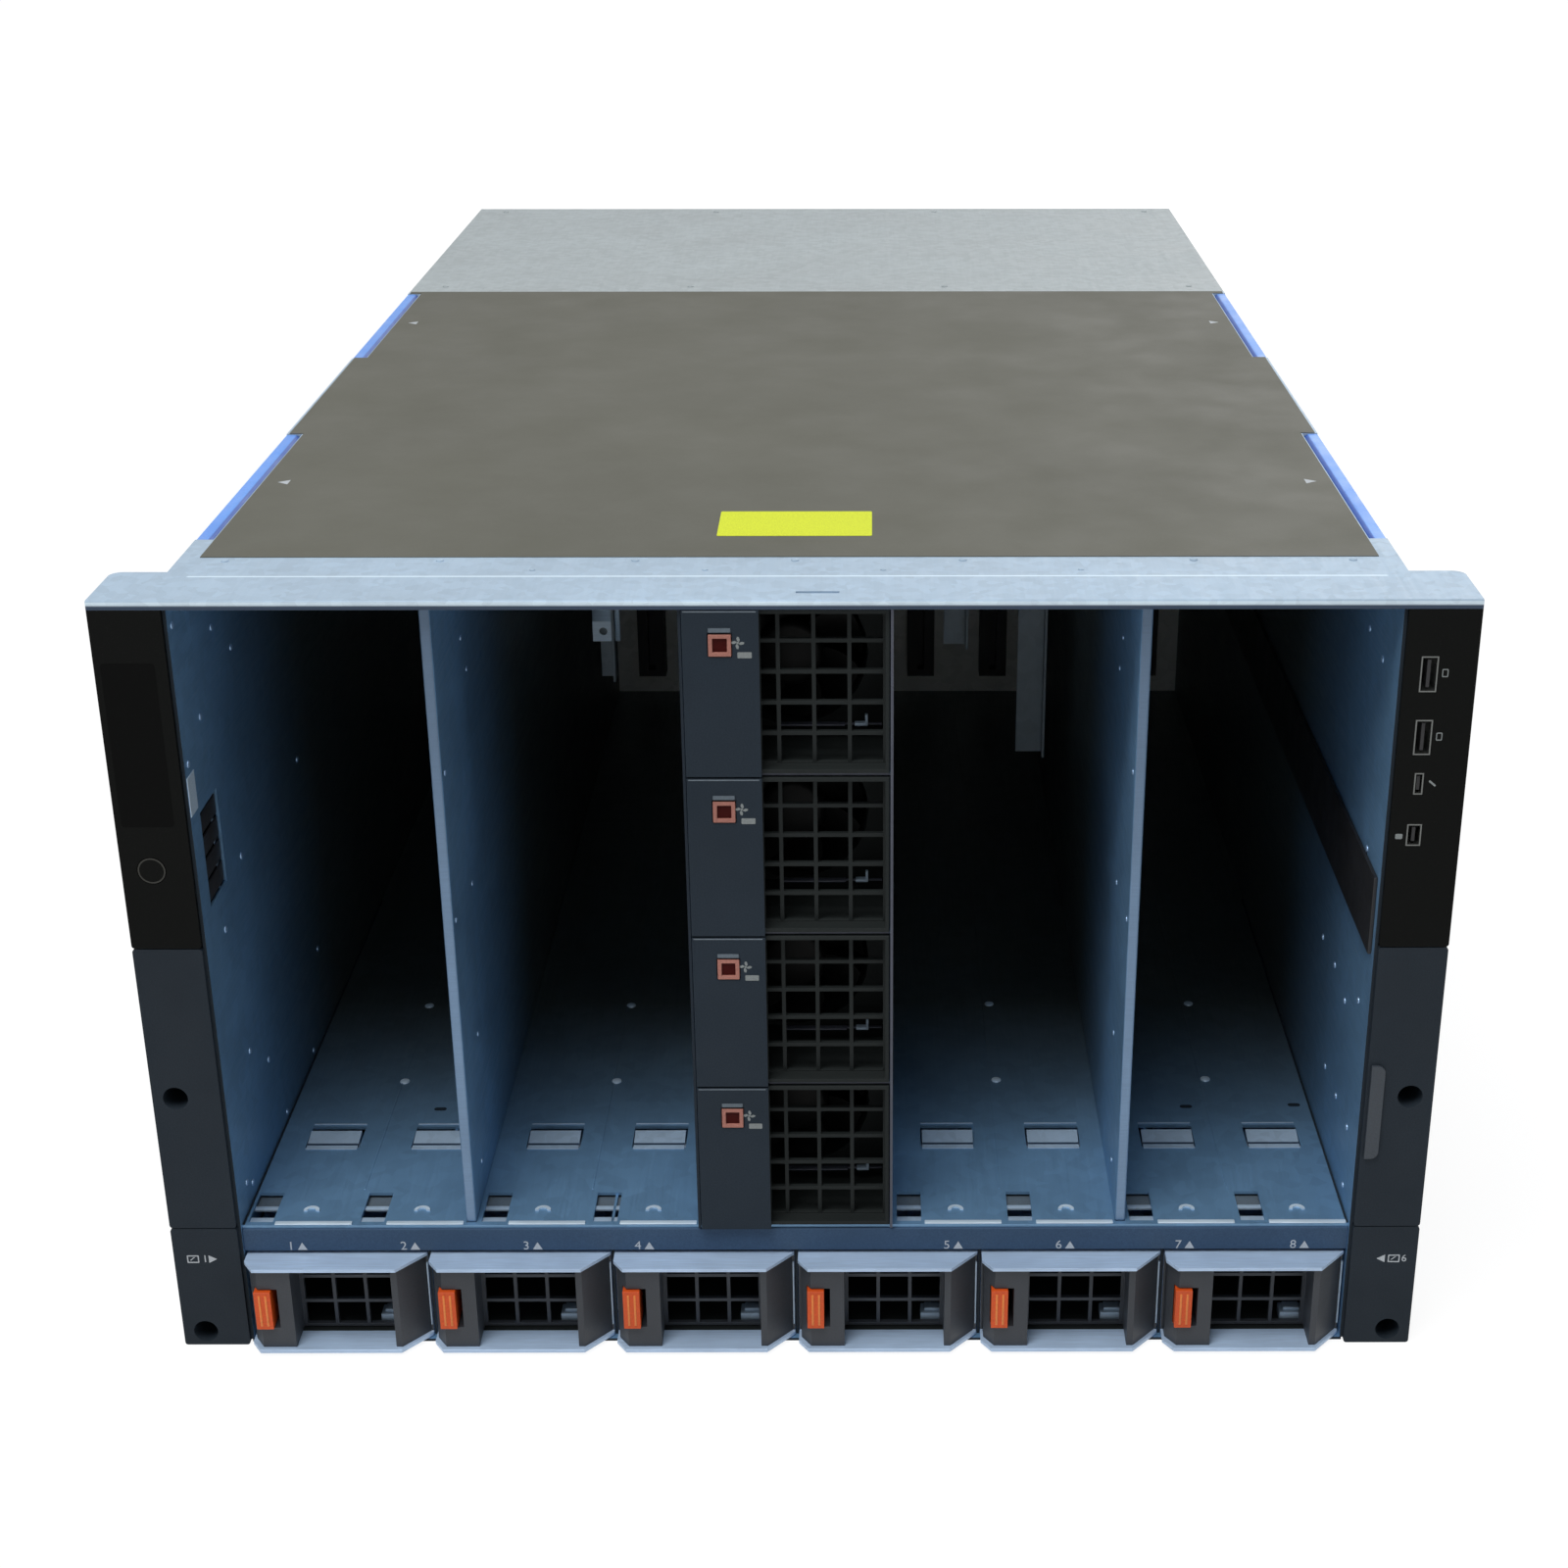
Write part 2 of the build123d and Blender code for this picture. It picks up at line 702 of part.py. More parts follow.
# One blind-mate connector with a guide pin at the back of every slot
with BuildPart() as slot_connectors:
    connector_front = bulkhead_depth - connector_length
    for edge in slot_edges:
        middle = edge + slot_pitch / 2
        foot = floor_top + connector_base
        with BuildSketch(front_plane(connector_front)):
            with Locations((middle, foot + connector_height / 2)):
                Rectangle(connector_width, connector_height)
        extrude(amount=-connector_length)
        with BuildSketch(front_plane(connector_front)):
            with Locations((middle, foot + connector_height / 2)):
                Rectangle(connector_mouth, connector_height - 2 * connector_mouth)
        extrude(amount=connector_mouth - connector_length, mode=Mode.SUBTRACT)
        with BuildSketch(front_plane(bulkhead_depth - sheet)):
            with Locations((middle, foot + connector_height + guide_pin_rise / 2)):
                Rectangle(connector_width, guide_pin_rise)
        extrude(amount=-sheet)
        pin_z = foot + connector_height + guide_pin_rise / 2
        with BuildSketch(front_plane(bulkhead_depth - guide_pin_length, middle, pin_z)):
            RegularPolygon(guide_pin, fine_sides)
        extrude(amount=-guide_pin_length)
save(slot_connectors.part, "slot_connectors")

# Power board behind the supplies, with one plug for each
with BuildPart() as power_board:
    with BuildSketch(front_plane(board_front)):
        with Locations((0, (base_top + floor_under) / 2)):
            Rectangle(2 * inner_half, floor_under - base_top)
    extrude(amount=-board_thick)
    with BuildSketch(front_plane(board_front - plug_length)):
        for index in range(psu_count):
            with Locations(((index + 0.5) * psu_pitch - inner_half, (psu_bottom + psu_top) / 2)):
                Rectangle(plug_width, plug_height)
    extrude(amount=-plug_length)
save(power_board.part, "power_board")


def tip_reach(tip, chord):
    """How far a flat blade of this chord may reach, so that its corners stay inside the tip circle."""
    return math.sqrt(tip**2 - (chord / 2 + blade_thick) ** 2)


def make_rotor(x, z, depth, length, tip, hub, chord, shaft, shaft_end, name):
    """Axial fan rotor: pitched blades with clipped tips, a hub and a shaft behind it."""
    thin = blade_thick / 2
    root = hub - 2 * blade_thick
    # The trailing edge is bent flatter than the leading edge
    bend = chord / 2 - blade_sag
    with BuildPart() as rotor:
        for index in range(rotor_blades):
            angle = 2 * math.pi * index / rotor_blades
            radial = (math.cos(angle), 0, math.sin(angle))
            origin = (x + root * radial[0], y_at(depth + length / 2), z + root * radial[2])
            with BuildSketch(Plane(origin=origin, x_dir=(0, 1, 0), z_dir=radial)):
                with BuildLine():
                    Polyline(
                        (thin - length / 2, thin - chord / 2),
                        (-blade_sag, bend / 2),
                        (length / 2, chord / 2),
                        (length / 2, chord / 2 - blade_thick),
                        (-blade_sag, bend / 2 - blade_thick),
                        (thin - length / 2, -thin - chord / 2),
                        close=True,
                    )
                make_face()
            extrude(amount=tip_reach(tip, chord) - root)
        with BuildSketch(front_plane(depth, x, z)):
            RegularPolygon(hub, broad_sides)
        extrude(amount=-length)
        with BuildSketch(front_plane(depth + length, x, z)):
            RegularPolygon(shaft, fine_sides)
        extrude(amount=depth + length - shaft_end)
    save(rotor.part, name)


def make_front_fan(index):
    """Hot-plug fan module: housing, face plate, grille, shroud and the spider that holds the rotor."""
    middle = floor_top + (fan_count - index + 0.5) * fan_pitch
    name = f"front_fan_{index}"
    inner_width = fan_width - 2 * fan_wall
    inner_height = fan_height - 2 * fan_wall
    plate_x = (fan_plate_width - fan_width) / 2
    grille_left = fan_plate_width - fan_width / 2
    release_x = fan_plate_width - fan_width / 2 - release_offset
    release_z = middle + fan_pitch / 2 - release_drop
    spider_depth = front_rotor_depth + front_rotor_length + spider_gap
    shroud_radius = front_rotor_radius + rotor_gap
    grille_width = fan_width / 2 - grille_left - fan_wall
    columns = math.ceil(grille_width / grille_pitch)
    rows = round(inner_height / grille_pitch)
    row_pitch = inner_height / rows
    grid_x = (grille_width - columns * grille_pitch) / 2
    with BuildPart() as module:
        with BuildSketch(front_plane(fan_plate, 0, middle)):
            Rectangle(fan_width, fan_height)
            Rectangle(inner_width, inner_height, mode=Mode.SUBTRACT)
        extrude(amount=fan_plate - fan_length)
        # Face plate with the release button's hole and a small ledge above it
        with BuildSketch(front_plane(0, plate_x, middle)):
            Rectangle(fan_plate_width, fan_pitch - fan_plate_gap)
        extrude(amount=-fan_plate)
        with BuildSketch(front_plane(-release_proud, release_x, release_z + release_size / 2 + release_lip)):
            Rectangle(release_size, release_lip)
        extrude(amount=-release_proud)
        with BuildSketch(front_plane(0, release_x, release_z)):
            Rectangle(release_size + 2 * slide_gap, release_size + 2 * slide_gap)
        extrude(amount=-fan_plate, mode=Mode.SUBTRACT)
        # Wall beside the recess and the grille at its back
        with BuildSketch(front_plane(0, grille_left - fan_wall / 2, middle)):
            Rectangle(fan_wall, inner_height)
        extrude(amount=-(grille_depth + grille_thick))
        with BuildSketch(front_plane(grille_depth, grille_left + grille_width / 2, middle)):
            Rectangle(grille_width, inner_height)
            with Locations((grid_x, 0)):
                with GridLocations(grille_pitch, row_pitch, columns, rows):
                    Rectangle(grille_pitch - grille_bar, row_pitch - grille_bar, mode=Mode.SUBTRACT)
        extrude(amount=-grille_thick)
        # Shroud round the rotor
        with BuildSketch(front_plane(shroud_depth, 0, middle)):
            Rectangle(inner_width, inner_height)
            RegularPolygon(shroud_radius, broad_sides, major_radius=False, mode=Mode.SUBTRACT)
        extrude(amount=-shroud_length)
        # Spider with the rotor's bearing
        with BuildSketch(front_plane(spider_depth, 0, middle)):
            Rectangle(inner_width, spider_bar)
            Rectangle(spider_bar, inner_height)
            RegularPolygon(front_hub_radius, broad_sides)
        extrude(amount=-spider_thick)
        with BuildSketch(front_plane(spider_depth, 0, middle)):
            RegularPolygon(bearing_radius, fine_sides)
        extrude(amount=-bearing_length)
        with BuildSketch(front_plane(spider_depth, 0, middle)):
            RegularPolygon(shaft_radius + pivot_gap, fine_sides, major_radius=False)
        extrude(amount=-bearing_length, mode=Mode.SUBTRACT)
    save(module.part, f"{name}_module")
    # Square release button with a sunk middle
    with BuildPart() as release:
        with BuildSketch(front_plane(-release_proud, release_x, release_z)):
            Rectangle(release_size, release_size)
        extrude(amount=-(release_proud + fan_plate + slide_gap))
        with BuildSketch(front_plane(-release_proud, release_x, release_z)):
            Rectangle(release_recess, release_recess)
        extrude(amount=-release_recess_depth, mode=Mode.SUBTRACT)
        with BuildSketch(front_plane(fan_plate + slide_gap, release_x, release_z)):
            Rectangle(release_flange, release_flange)
        extrude(amount=-release_flange_thick)
    save(release.part, f"{name}_button")
    make_rotor(
        0, middle, front_rotor_depth, front_rotor_length, front_rotor_radius, front_hub_radius,
        front_chord, shaft_radius, spider_depth + bearing_length - slide_gap, f"{name}_rotor",
    )


for number in range(1, fan_count + 1):
    make_front_fan(number)


def make_psu(index):
    """Power supply: a hollow sheet metal case with handle plates, a moulded bezel and a latch."""
    middle = (index - 0.5) * psu_pitch - inner_half
    half = psu_width / 2
    left = middle - half
    right = middle + half
    mid_z = (psu_bottom + psu_top) / 2
    nose = -psu_nose
    with BuildPart() as case:
        with BuildSketch(front_plane(psu_case_front, middle, mid_z)):
            Rectangle(psu_width, psu_height)
        extrude(amount=-psu_length)
        with BuildSketch(front_plane(psu_case_front, middle, mid_z)):
            Rectangle(psu_width - 2 * psu_skin, psu_height - 2 * psu_skin)
        extrude(amount=psu_skin - psu_length, mode=Mode.SUBTRACT)
        # Exhaust slots in the rear wall
        with BuildSketch(front_plane(psu_rear - psu_skin, middle, mid_z)):
            with GridLocations(2 * vent_width, 0, vent_count, 1):
                Rectangle(vent_width, vent_height)
        extrude(amount=-psu_skin, mode=Mode.SUBTRACT)
        # Handle plates above and below the bezel, cut back at both corners
        for low in (psu_bottom, psu_top - psu_plate):
            with BuildSketch(Plane.XY.offset(low)):
                with BuildLine():
                    Polyline(
                        (left, y_at(psu_case_front)),
                        (left, y_at(nose + nose_left_back)),
                        (left + nose_left_run, y_at(nose)),
                        (right - nose_right_run, y_at(nose)),
                        (right, y_at(nose + nose_right_back)),
                        (right, y_at(psu_case_front)),
                        close=True,
                    )
                make_face()
            extrude(amount=psu_plate)
    # Bezel profile seen from above: a post, a recessed grille and a slanted post
    post = left + psu_skin + left_post
    slant = right - psu_skin - right_post
    face = nose + bezel_set
    back = psu_grille_depth + psu_grille_thick
    slope = nose_right_back / nose_right_run
    latch_x = left + psu_skin + latch_left + latch_width / 2
    pocket_x = latch_x + (latch_throw_gap - slide_gap) / 2
    pocket_width = latch_width + latch_throw_gap + slide_gap
    pivot_y = y_at(latch_pivot_depth)
    with BuildPart() as bezel:
        with BuildSketch(Plane.XY.offset(psu_bottom + psu_plate)):
            with BuildLine():
                Polyline(
                    (left + psu_skin, y_at(back)),
                    (left + psu_skin, y_at(face + nose_left_back)),
                    (left + psu_skin + nose_left_run, y_at(face)),
                    (post, y_at(face)),
                    (post, y_at(psu_grille_depth)),
                    (slant, y_at(psu_grille_depth)),
                    (slant, y_at(face)),
                    (right - nose_right_run, y_at(face)),
                    (right - psu_skin, y_at(face + (nose_right_run - psu_skin) * slope)),
                    (right - psu_skin, y_at(back)),
                    close=True,
                )
            make_face()
        extrude(amount=psu_height - 2 * psu_plate)
        # Grille cells
        cell_x = (slant - post - psu_bar) / psu_columns
        cell_z = (psu_height - 2 * psu_plate - psu_bar) / psu_rows
        with BuildSketch(front_plane(psu_grille_depth, (post + slant) / 2, mid_z)):
            with GridLocations(cell_x, cell_z, psu_columns, psu_rows):
                Rectangle(cell_x - psu_bar, cell_z - psu_bar)
        extrude(amount=-psu_grille_thick, mode=Mode.SUBTRACT)
        # Pocket and pivot bore of the latch
        with BuildSketch(front_plane(face, pocket_x, mid_z)):
            Rectangle(pocket_width, latch_height + 2 * slide_gap)
        extrude(amount=face - back, mode=Mode.SUBTRACT)
        with BuildSketch(Plane.XY.offset(mid_z - latch_height / 2 - latch_pin_reach)):
            with Locations((latch_x, pivot_y)):
                RegularPolygon(latch_pin + pivot_gap, fine_sides, major_radius=False)
        extrude(amount=latch_height + 2 * latch_pin_reach, mode=Mode.SUBTRACT)
    save(Compound(children=[case.part, bezel.part]), f"psu_{index}")
    # Orange latch: a thumb tab on a vertical pivot pin
    with BuildPart() as latch:
        with BuildSketch(Plane.XY.offset(mid_z - latch_height / 2)):
            with Locations((latch_x, y_at((face - latch_proud + latch_pivot_depth) / 2))):
                Rectangle(latch_width, latch_pivot_depth - face + latch_proud)
            with Locations((latch_x, pivot_y)):
                RegularPolygon(latch_boss, fine_sides)
        extrude(amount=latch_height)
        with BuildSketch(Plane.XY.offset(mid_z - latch_height / 2 - latch_pin_reach + slide_gap)):
            with Locations((latch_x, pivot_y)):
                RegularPolygon(latch_pin, fine_sides)
        extrude(amount=latch_height + 2 * latch_pin_reach - 2 * slide_gap)
    save(latch.part, f"psu_{index}_latch")


for number in range(1, psu_count + 1):
    make_psu(number)

# Rear rows from the top down: two blanks, the fans, two blanks, the modules, the inlets
rear_width = 2 * (inner_half - rear_side_margin)
row_a1 = cover_under - rear_margin - io_height / 2
row_a2 = row_a1 - io_height - rear_web
row_fan = row_a2 - io_height / 2 - rear_web - rear_fan_size / 2
row_b1 = row_fan - rear_fan_size / 2 - rear_web - io_height / 2
row_b2 = row_b1 - io_height - rear_web
row_module = row_b2 - io_height / 2 - rear_web - module_height / 2
row_inlet = row_module - module_height / 2 - rear_web - inlet_row / 2
io_rows = (row_a1, row_a2, row_b1, row_b2)
rear_fan_pitch = (rear_width + rear_web) / rear_fan_count
rear_fan_xs = [(index - (rear_fan_count - 1) / 2) * rear_fan_pitch for index in range(rear_fan_count)]
module_width = (rear_width + rear_web) / module_count - rear_web
module_xs = [(index - (module_count - 1) / 2) * (module_width + rear_web) for index in range(module_count)]
inlet_xs = [(index + 0.5) * psu_pitch - inner_half for index in range(psu_count)]

# Rear frame with one window for every rear module
with BuildPart() as rear_frame:
    with BuildSketch(front_plane(chassis_depth - sheet)):
        with Locations((0, base_top + wall_height / 2)):
            Rectangle(body_width, wall_height)
        with Locations(*[(0, row) for row in io_rows]):
            Rectangle(rear_width, io_height, mode=Mode.SUBTRACT)
        with Locations(*[(x, row_fan) for x in rear_fan_xs]):
            Rectangle(rear_fan_size, rear_fan_size, mode=Mode.SUBTRACT)
        with Locations(*[(x, row_module) for x in module_xs]):
            Rectangle(module_width, module_height, mode=Mode.SUBTRACT)
        with Locations(*[(x, row_inlet) for x in inlet_xs]):
            Rectangle(inlet_width, inlet_height, mode=Mode.SUBTRACT)
    extrude(amount=-sheet)
save(rear_frame.part, "rear_frame")


# Trays that close the rear windows, each as X, Z, width and height, and the tabs that pull them
trays = [(0, row, rear_width, io_height) for row in io_rows]
trays += [(x, row_module, module_width, module_height) for x in module_xs]
pulls = [(side * pull_x, row) for row in io_rows for side in (-1, 1)]
pulls += [(x - math.copysign(module_width / 2 - pull_width, x), row_module) for x in module_xs]
pull_reach = rear_overhang - rear_plate
management_xs = module_xs[1:-1]

# Blanks for the wide rear bays, then the row with two blanks and two management modules
with BuildPart() as rear_blanks:
    for x, z, width, height in trays:
        rim_width = width - 2 * slide_gap
        rim_height = height - 2 * slide_gap
        with BuildSketch(front_plane(chassis_depth, x, z)):
            Rectangle(width + 2 * rear_lap, height + 2 * rear_lap)
        extrude(amount=-rear_plate)
        with BuildSketch(front_plane(chassis_depth - rear_rim_depth, x, z)):
            Rectangle(rim_width, rim_height)
            Rectangle(rim_width - 2 * rear_rim, rim_height - 2 * rear_rim, mode=Mode.SUBTRACT)
        extrude(amount=-rear_rim_depth)
    for x, z in pulls:
        with BuildSketch(Plane.XY.offset(z - pull_thick / 2)) as tab:
            with Locations((x, y_at(chassis_depth + rear_plate + pull_reach / 2))):
                Rectangle(pull_width, pull_reach)
            chamfer(tab.vertices().sort_by(Axis.Y)[-2:], pull_round)
        extrude(amount=pull_thick)
    for x in management_xs:
        with BuildSketch(front_plane(chassis_depth, x + math.copysign(jack_pitch, x), row_module)):
            with GridLocations(jack_pitch, 0, jack_count, 1):
                Rectangle(jack_width, jack_height)
        extrude(amount=-rear_plate, mode=Mode.SUBTRACT)
save(rear_blanks.part, "rear_blanks")

# Rear fan cases: a square duct with a finger guard and the rotor's bearing
duct_radius = rear_fan_size / 2 - slide_gap - rear_fan_wall
rear_bore = rear_shaft_radius + pivot_gap
with BuildPart() as rear_fan_cases:
    for x in rear_fan_xs:
        with BuildSketch(front_plane(chassis_depth - rear_fan_depth, x, row_fan)):
            Rectangle(rear_fan_size - 2 * slide_gap, rear_fan_size - 2 * slide_gap)
            RegularPolygon(duct_radius, broad_sides, major_radius=False, mode=Mode.SUBTRACT)
        extrude(amount=-rear_fan_depth)
        with BuildSketch(front_plane(chassis_depth, x, row_fan)):
            Rectangle(rear_fan_size + 2 * rear_lap, rear_fan_size + 2 * rear_lap)
            RegularPolygon(duct_radius, broad_sides, major_radius=False, mode=Mode.SUBTRACT)
            Rectangle(2 * duct_radius + rear_fan_wall, guard_bar)
            Rectangle(guard_bar, 2 * duct_radius + rear_fan_wall)
            for ring in range(1, guard_rings + 1):
                ring_radius = rear_hub_radius + ring * (duct_radius - rear_hub_radius) / (guard_rings + 1)
                with BuildSketch(mode=Mode.PRIVATE) as wire:
                    RegularPolygon(ring_radius + guard_wire / 2, broad_sides)
                    RegularPolygon(ring_radius - guard_wire / 2, broad_sides, mode=Mode.SUBTRACT)
                add(wire.sketch)
            RegularPolygon(rear_hub_radius, broad_sides)
        extrude(amount=-rear_plate)
        with BuildSketch(front_plane(chassis_depth - motor_depth, x, row_fan)):
            RegularPolygon(rear_hub_radius, broad_sides)
            RegularPolygon(rear_bore, fine_sides, major_radius=False, mode=Mode.SUBTRACT)
        extrude(amount=-motor_depth)
save(rear_fan_cases.part, "rear_fan_cases")

rear_rotor_depth = chassis_depth - motor_depth - rear_rotor_gap - rear_rotor_length
for number, x in enumerate(rear_fan_xs, start=1):
    make_rotor(
        x, row_fan, rear_rotor_depth, rear_rotor_length, duct_radius - rotor_gap, rear_hub_radius,
        rear_chord, rear_shaft_radius, chassis_depth - motor_depth + bearing_depth,
        f"rear_fan_{number}_rotor",
    )

# Power inlets: flanged sockets with three contact blades
with BuildPart() as power_inlets:
    for x in inlet_xs:
        body_wide = inlet_width - 2 * slide_gap
        body_high = inlet_height - 2 * slide_gap
        with BuildSketch(front_plane(chassis_depth - inlet_depth, x, row_inlet)):
            Rectangle(body_wide, body_high)
        extrude(amount=-inlet_depth)
        with BuildSketch(front_plane(chassis_depth, x, row_inlet)):
            Rectangle(inlet_width + 2 * rear_lap, inlet_height + 2 * rear_lap)
        extrude(amount=-rear_plate)
        with BuildSketch(front_plane(chassis_depth - inlet_depth + inlet_back, x, row_inlet)):
            Rectangle(body_wide - 2 * inlet_wall, body_high - 2 * inlet_wall)
        extrude(amount=inlet_back - inlet_depth - rear_plate, mode=Mode.SUBTRACT)
        with BuildSketch(front_plane(chassis_depth - inlet_depth + inlet_back, x, row_inlet)):
            with GridLocations(blade_pitch, 0, 3, 1):
                Rectangle(blade_width, blade_height)
        extrude(amount=-blade_length)
save(power_inlets.part, "power_inlets")
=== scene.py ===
"""Looks of a blade server chassis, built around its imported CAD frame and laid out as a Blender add-on."""

import math

import bmesh
import bpy
from bpy.props import FloatProperty, FloatVectorProperty, PointerProperty
from mathutils import Matrix, Vector


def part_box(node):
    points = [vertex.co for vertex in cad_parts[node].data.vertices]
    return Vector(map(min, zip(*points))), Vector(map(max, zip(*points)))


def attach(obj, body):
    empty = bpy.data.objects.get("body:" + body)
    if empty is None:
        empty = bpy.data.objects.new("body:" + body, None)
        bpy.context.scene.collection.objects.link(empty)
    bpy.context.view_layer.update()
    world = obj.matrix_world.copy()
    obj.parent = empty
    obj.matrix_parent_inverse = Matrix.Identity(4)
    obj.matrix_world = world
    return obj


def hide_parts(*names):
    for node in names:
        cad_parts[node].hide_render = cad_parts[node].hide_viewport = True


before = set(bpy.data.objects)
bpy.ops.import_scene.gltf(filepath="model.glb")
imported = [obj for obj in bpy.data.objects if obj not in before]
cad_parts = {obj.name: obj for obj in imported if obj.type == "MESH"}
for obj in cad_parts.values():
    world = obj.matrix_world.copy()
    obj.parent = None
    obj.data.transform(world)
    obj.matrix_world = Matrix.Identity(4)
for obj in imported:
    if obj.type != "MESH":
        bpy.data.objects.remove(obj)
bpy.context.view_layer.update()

bl_info = {
    "name": "Blade server chassis",
    "version": (1, 0, 0),
    "blender": (4, 5, 0),
    "location": "3D View > Sidebar > Chassis",
    "description": "Finishes, marks, fasteners and stage of a blade server chassis",
    "category": "Object",
}

MM = 0.001
NEAR = 0.00002
FAN_COUNT = 4
PSU_COUNT = 6
REAR_FAN_COUNT = 5
LANCE = 62.0
TAB_RISE = 1.6 * MM
LIP_HEIGHT = 3.4 * MM
FACE_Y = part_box("ear_covers")[0].y
REAR_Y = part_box("rear_frame")[1].y
INNER_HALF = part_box("slot_number_strip")[1].x
OUTER_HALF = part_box("base_pan")[1].x
FLOOR_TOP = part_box("bay_floor")[1].z - TAB_RISE
LIP_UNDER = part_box("front_lip")[1].z - LIP_HEIGHT
COVER_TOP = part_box("front_top_cover")[1].z
FILM_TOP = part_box("cover_film")[1].z


def linear(value):
    """Scene-linear part of an eight-bit display value."""
    share = value / 255
    return share / 12.92 if share <= 0.04045 else ((share + 0.055) / 1.055) ** 2.4


def colour(label, note, *display):
    """Colour property of a finish, from its display values."""
    tone = (*(linear(value) for value in display), 1.0)
    return FloatVectorProperty(
        name=label, description=note, default=tone, size=4, min=0.0, max=1.0, subtype="COLOR"
    )


def length(label, note, value):
    """Length property of a piece, from millimetres."""
    return FloatProperty(
        name=label, description=note, default=value * MM, min=0.0, subtype="DISTANCE", unit="LENGTH"
    )


class ChassisColours(bpy.types.PropertyGroup):
    """Colours of the chassis finishes."""

    zinc: colour("Zinc sheet", "Galvanised sheet of the bays and walls", 116, 156, 191)
    # Painted shade: colour that the bay zinc is darkened towards deep inside the bays
    deep_shade: colour("Dull zinc", "Zinc deep inside the bays", 94, 104, 104)
    lip: colour("Lip steel", "Bright folded lip and the strip behind it", 170, 191, 210)
    cover: colour("Cover steel", "Rear cover, outer walls and brackets", 172, 181, 184)
    # Also the painted highlight on the lip's front face and along its crease line
    bright: colour("Bright edge", "Folded front edge of the lip and worn edges", 216, 234, 248)
    cage: colour("Cage edge", "Front edges of the fan cage and ledges of the fans", 72, 76, 88)
    dim_ink: colour("Dim ink", "Marks of the fans and ports, bare labels", 150, 156, 156)
    back: colour("Back panel", "Panel at the back of the bays", 245, 248, 240)
    # Painted shade: the dark lower part of the lip's front face and the dark line at the bend of the spring
    # tabs
    crease: colour("Crease", "Shaded folds of the lip and the spring tabs", 40, 58, 80)
    edge: colour("Fasteners", "Rivets, rear screws and pins", 160, 190, 222)
    divider: colour("Divider edge", "Folded front edges of the bay dividers", 116, 143, 173)
    film: colour("Cover film", "Dark film on the front cover", 99, 99, 90)
    gloss: colour("Gloss black", "Control and port panels", 17, 18, 17)
    matte: colour("Matte black", "Moulded ear covers", 37, 45, 53)
    strip: colour("Number strip", "Strip with the slot numbers", 62, 85, 112)
    fan: colour("Fan plates", "Face plates of the fan modules", 37, 47, 57)
    grille: colour("Fan grilles", "Grilles and ducts of the fans", 39, 43, 43)
    rotor: colour("Rotors", "Fan rotors", 18, 19, 19)
    release: colour("Release frame", "Frame of the fan release buttons", 178, 122, 110)
    release_core: colour("Release middle", "Sunk middle of the release buttons", 64, 14, 12)
    latch: colour("Latches", "Latches of the power supplies", 226, 88, 30)
    # Painted highlight: lighter orange of the latch ribs
    latch_rib_highlight: colour("Latch ribs", "Polished ribs of the latches", 246, 142, 70)
    bezel: colour("Supply bezels", "Moulded fronts of the power supplies", 58, 62, 68)
    silver: colour("Supply cases", "Silver cases of the power supplies", 190, 214, 242)
    blue: colour("Lift handles", "Blue plastic of the lift handles", 98, 158, 250)
    # Painted shade along the inner edge of the lift handles
    handle_painted_shade: colour("Handle inside", "Inner edge of the lift handles", 40, 90, 180)
    tag: colour("Service tag", "Pull-out tag", 56, 63, 71)
    # Also a painted highlight: the rim along the top edge of each fan plate is laid in this colour
    worn: colour("Worn plastic", "Worn edges of the fan plates, key plates", 94, 106, 116)
    ink: colour("Ink", "Printed marks", 206, 212, 218)
    faint: colour("Faint ring", "Ring on the power button", 62, 62, 58)
    sticker: colour("Sticker", "Plain sticker on the film", 238, 250, 50)
    port: colour("Port shells", "Plated shells of the ports", 112, 114, 112)
    socket: colour("Connector plastic", "Connector bodies and inlets", 36, 36, 38)
    board: colour("Board", "Power board", 22, 60, 44)
    rear: colour("Rear steel", "Rear frame and blanks", 168, 176, 180)


class ChassisSizes(bpy.types.PropertyGroup):
    """Sizes of the small pieces that the scene adds."""

    rivet: length("Rivet radius", "Radius of a rivet head", 1.4)
    rivet_rise: length("Rivet height", "Height of a rivet head", 0.6)
    screw: length("Screw radius", "Radius of a screw head", 3.0)
    screw_rise: length("Screw height", "Height of a screw head", 1.8)
    print_film: length("Print thickness", "Thickness of a printed mark", 0.06)
    digit: length("Digit height", "Height of the slot numbers", 3.8)
    edge_round: length("Edge round", "Round on the edges of moulded pieces", 0.5)
    sheet_round: length("Sheet round", "Round on the edges of sheet metal", 0.3)


def sizes():
    """Sizes of the current scene."""
    return bpy.context.scene.chassis_sizes


def deep(depth):
    """Y of a point this many millimetres behind the front face of the ears."""
    return FACE_Y + depth * MM


def at(x, depth, z):
    """Point from millimetres across, behind the ear face and up."""
    return Vector((x * MM, deep(depth), z * MM))


def reach(node):
    """Corners of a CAD node in millimetres across, behind the ear face and up."""
    return [Vector((corner.x, corner.y - FACE_Y, corner.z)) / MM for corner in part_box(node)]


def moved(pair, across, level):
    """Pair of corners moved across and up."""
    return [(x + across, depth, z + level) for x, depth, z in pair]


# Node recipes

PRODUCT = (0.12, 0.4)  # Usual span of two noises multiplied


def feed(tree, node, inputs):
    """Put values or links on the inputs of a node."""
    for name, value in inputs.items():
        if isinstance(value, bpy.types.NodeSocket):
            tree.links.new(value, node.inputs[name])
        else:
            node.inputs[name].default_value = value


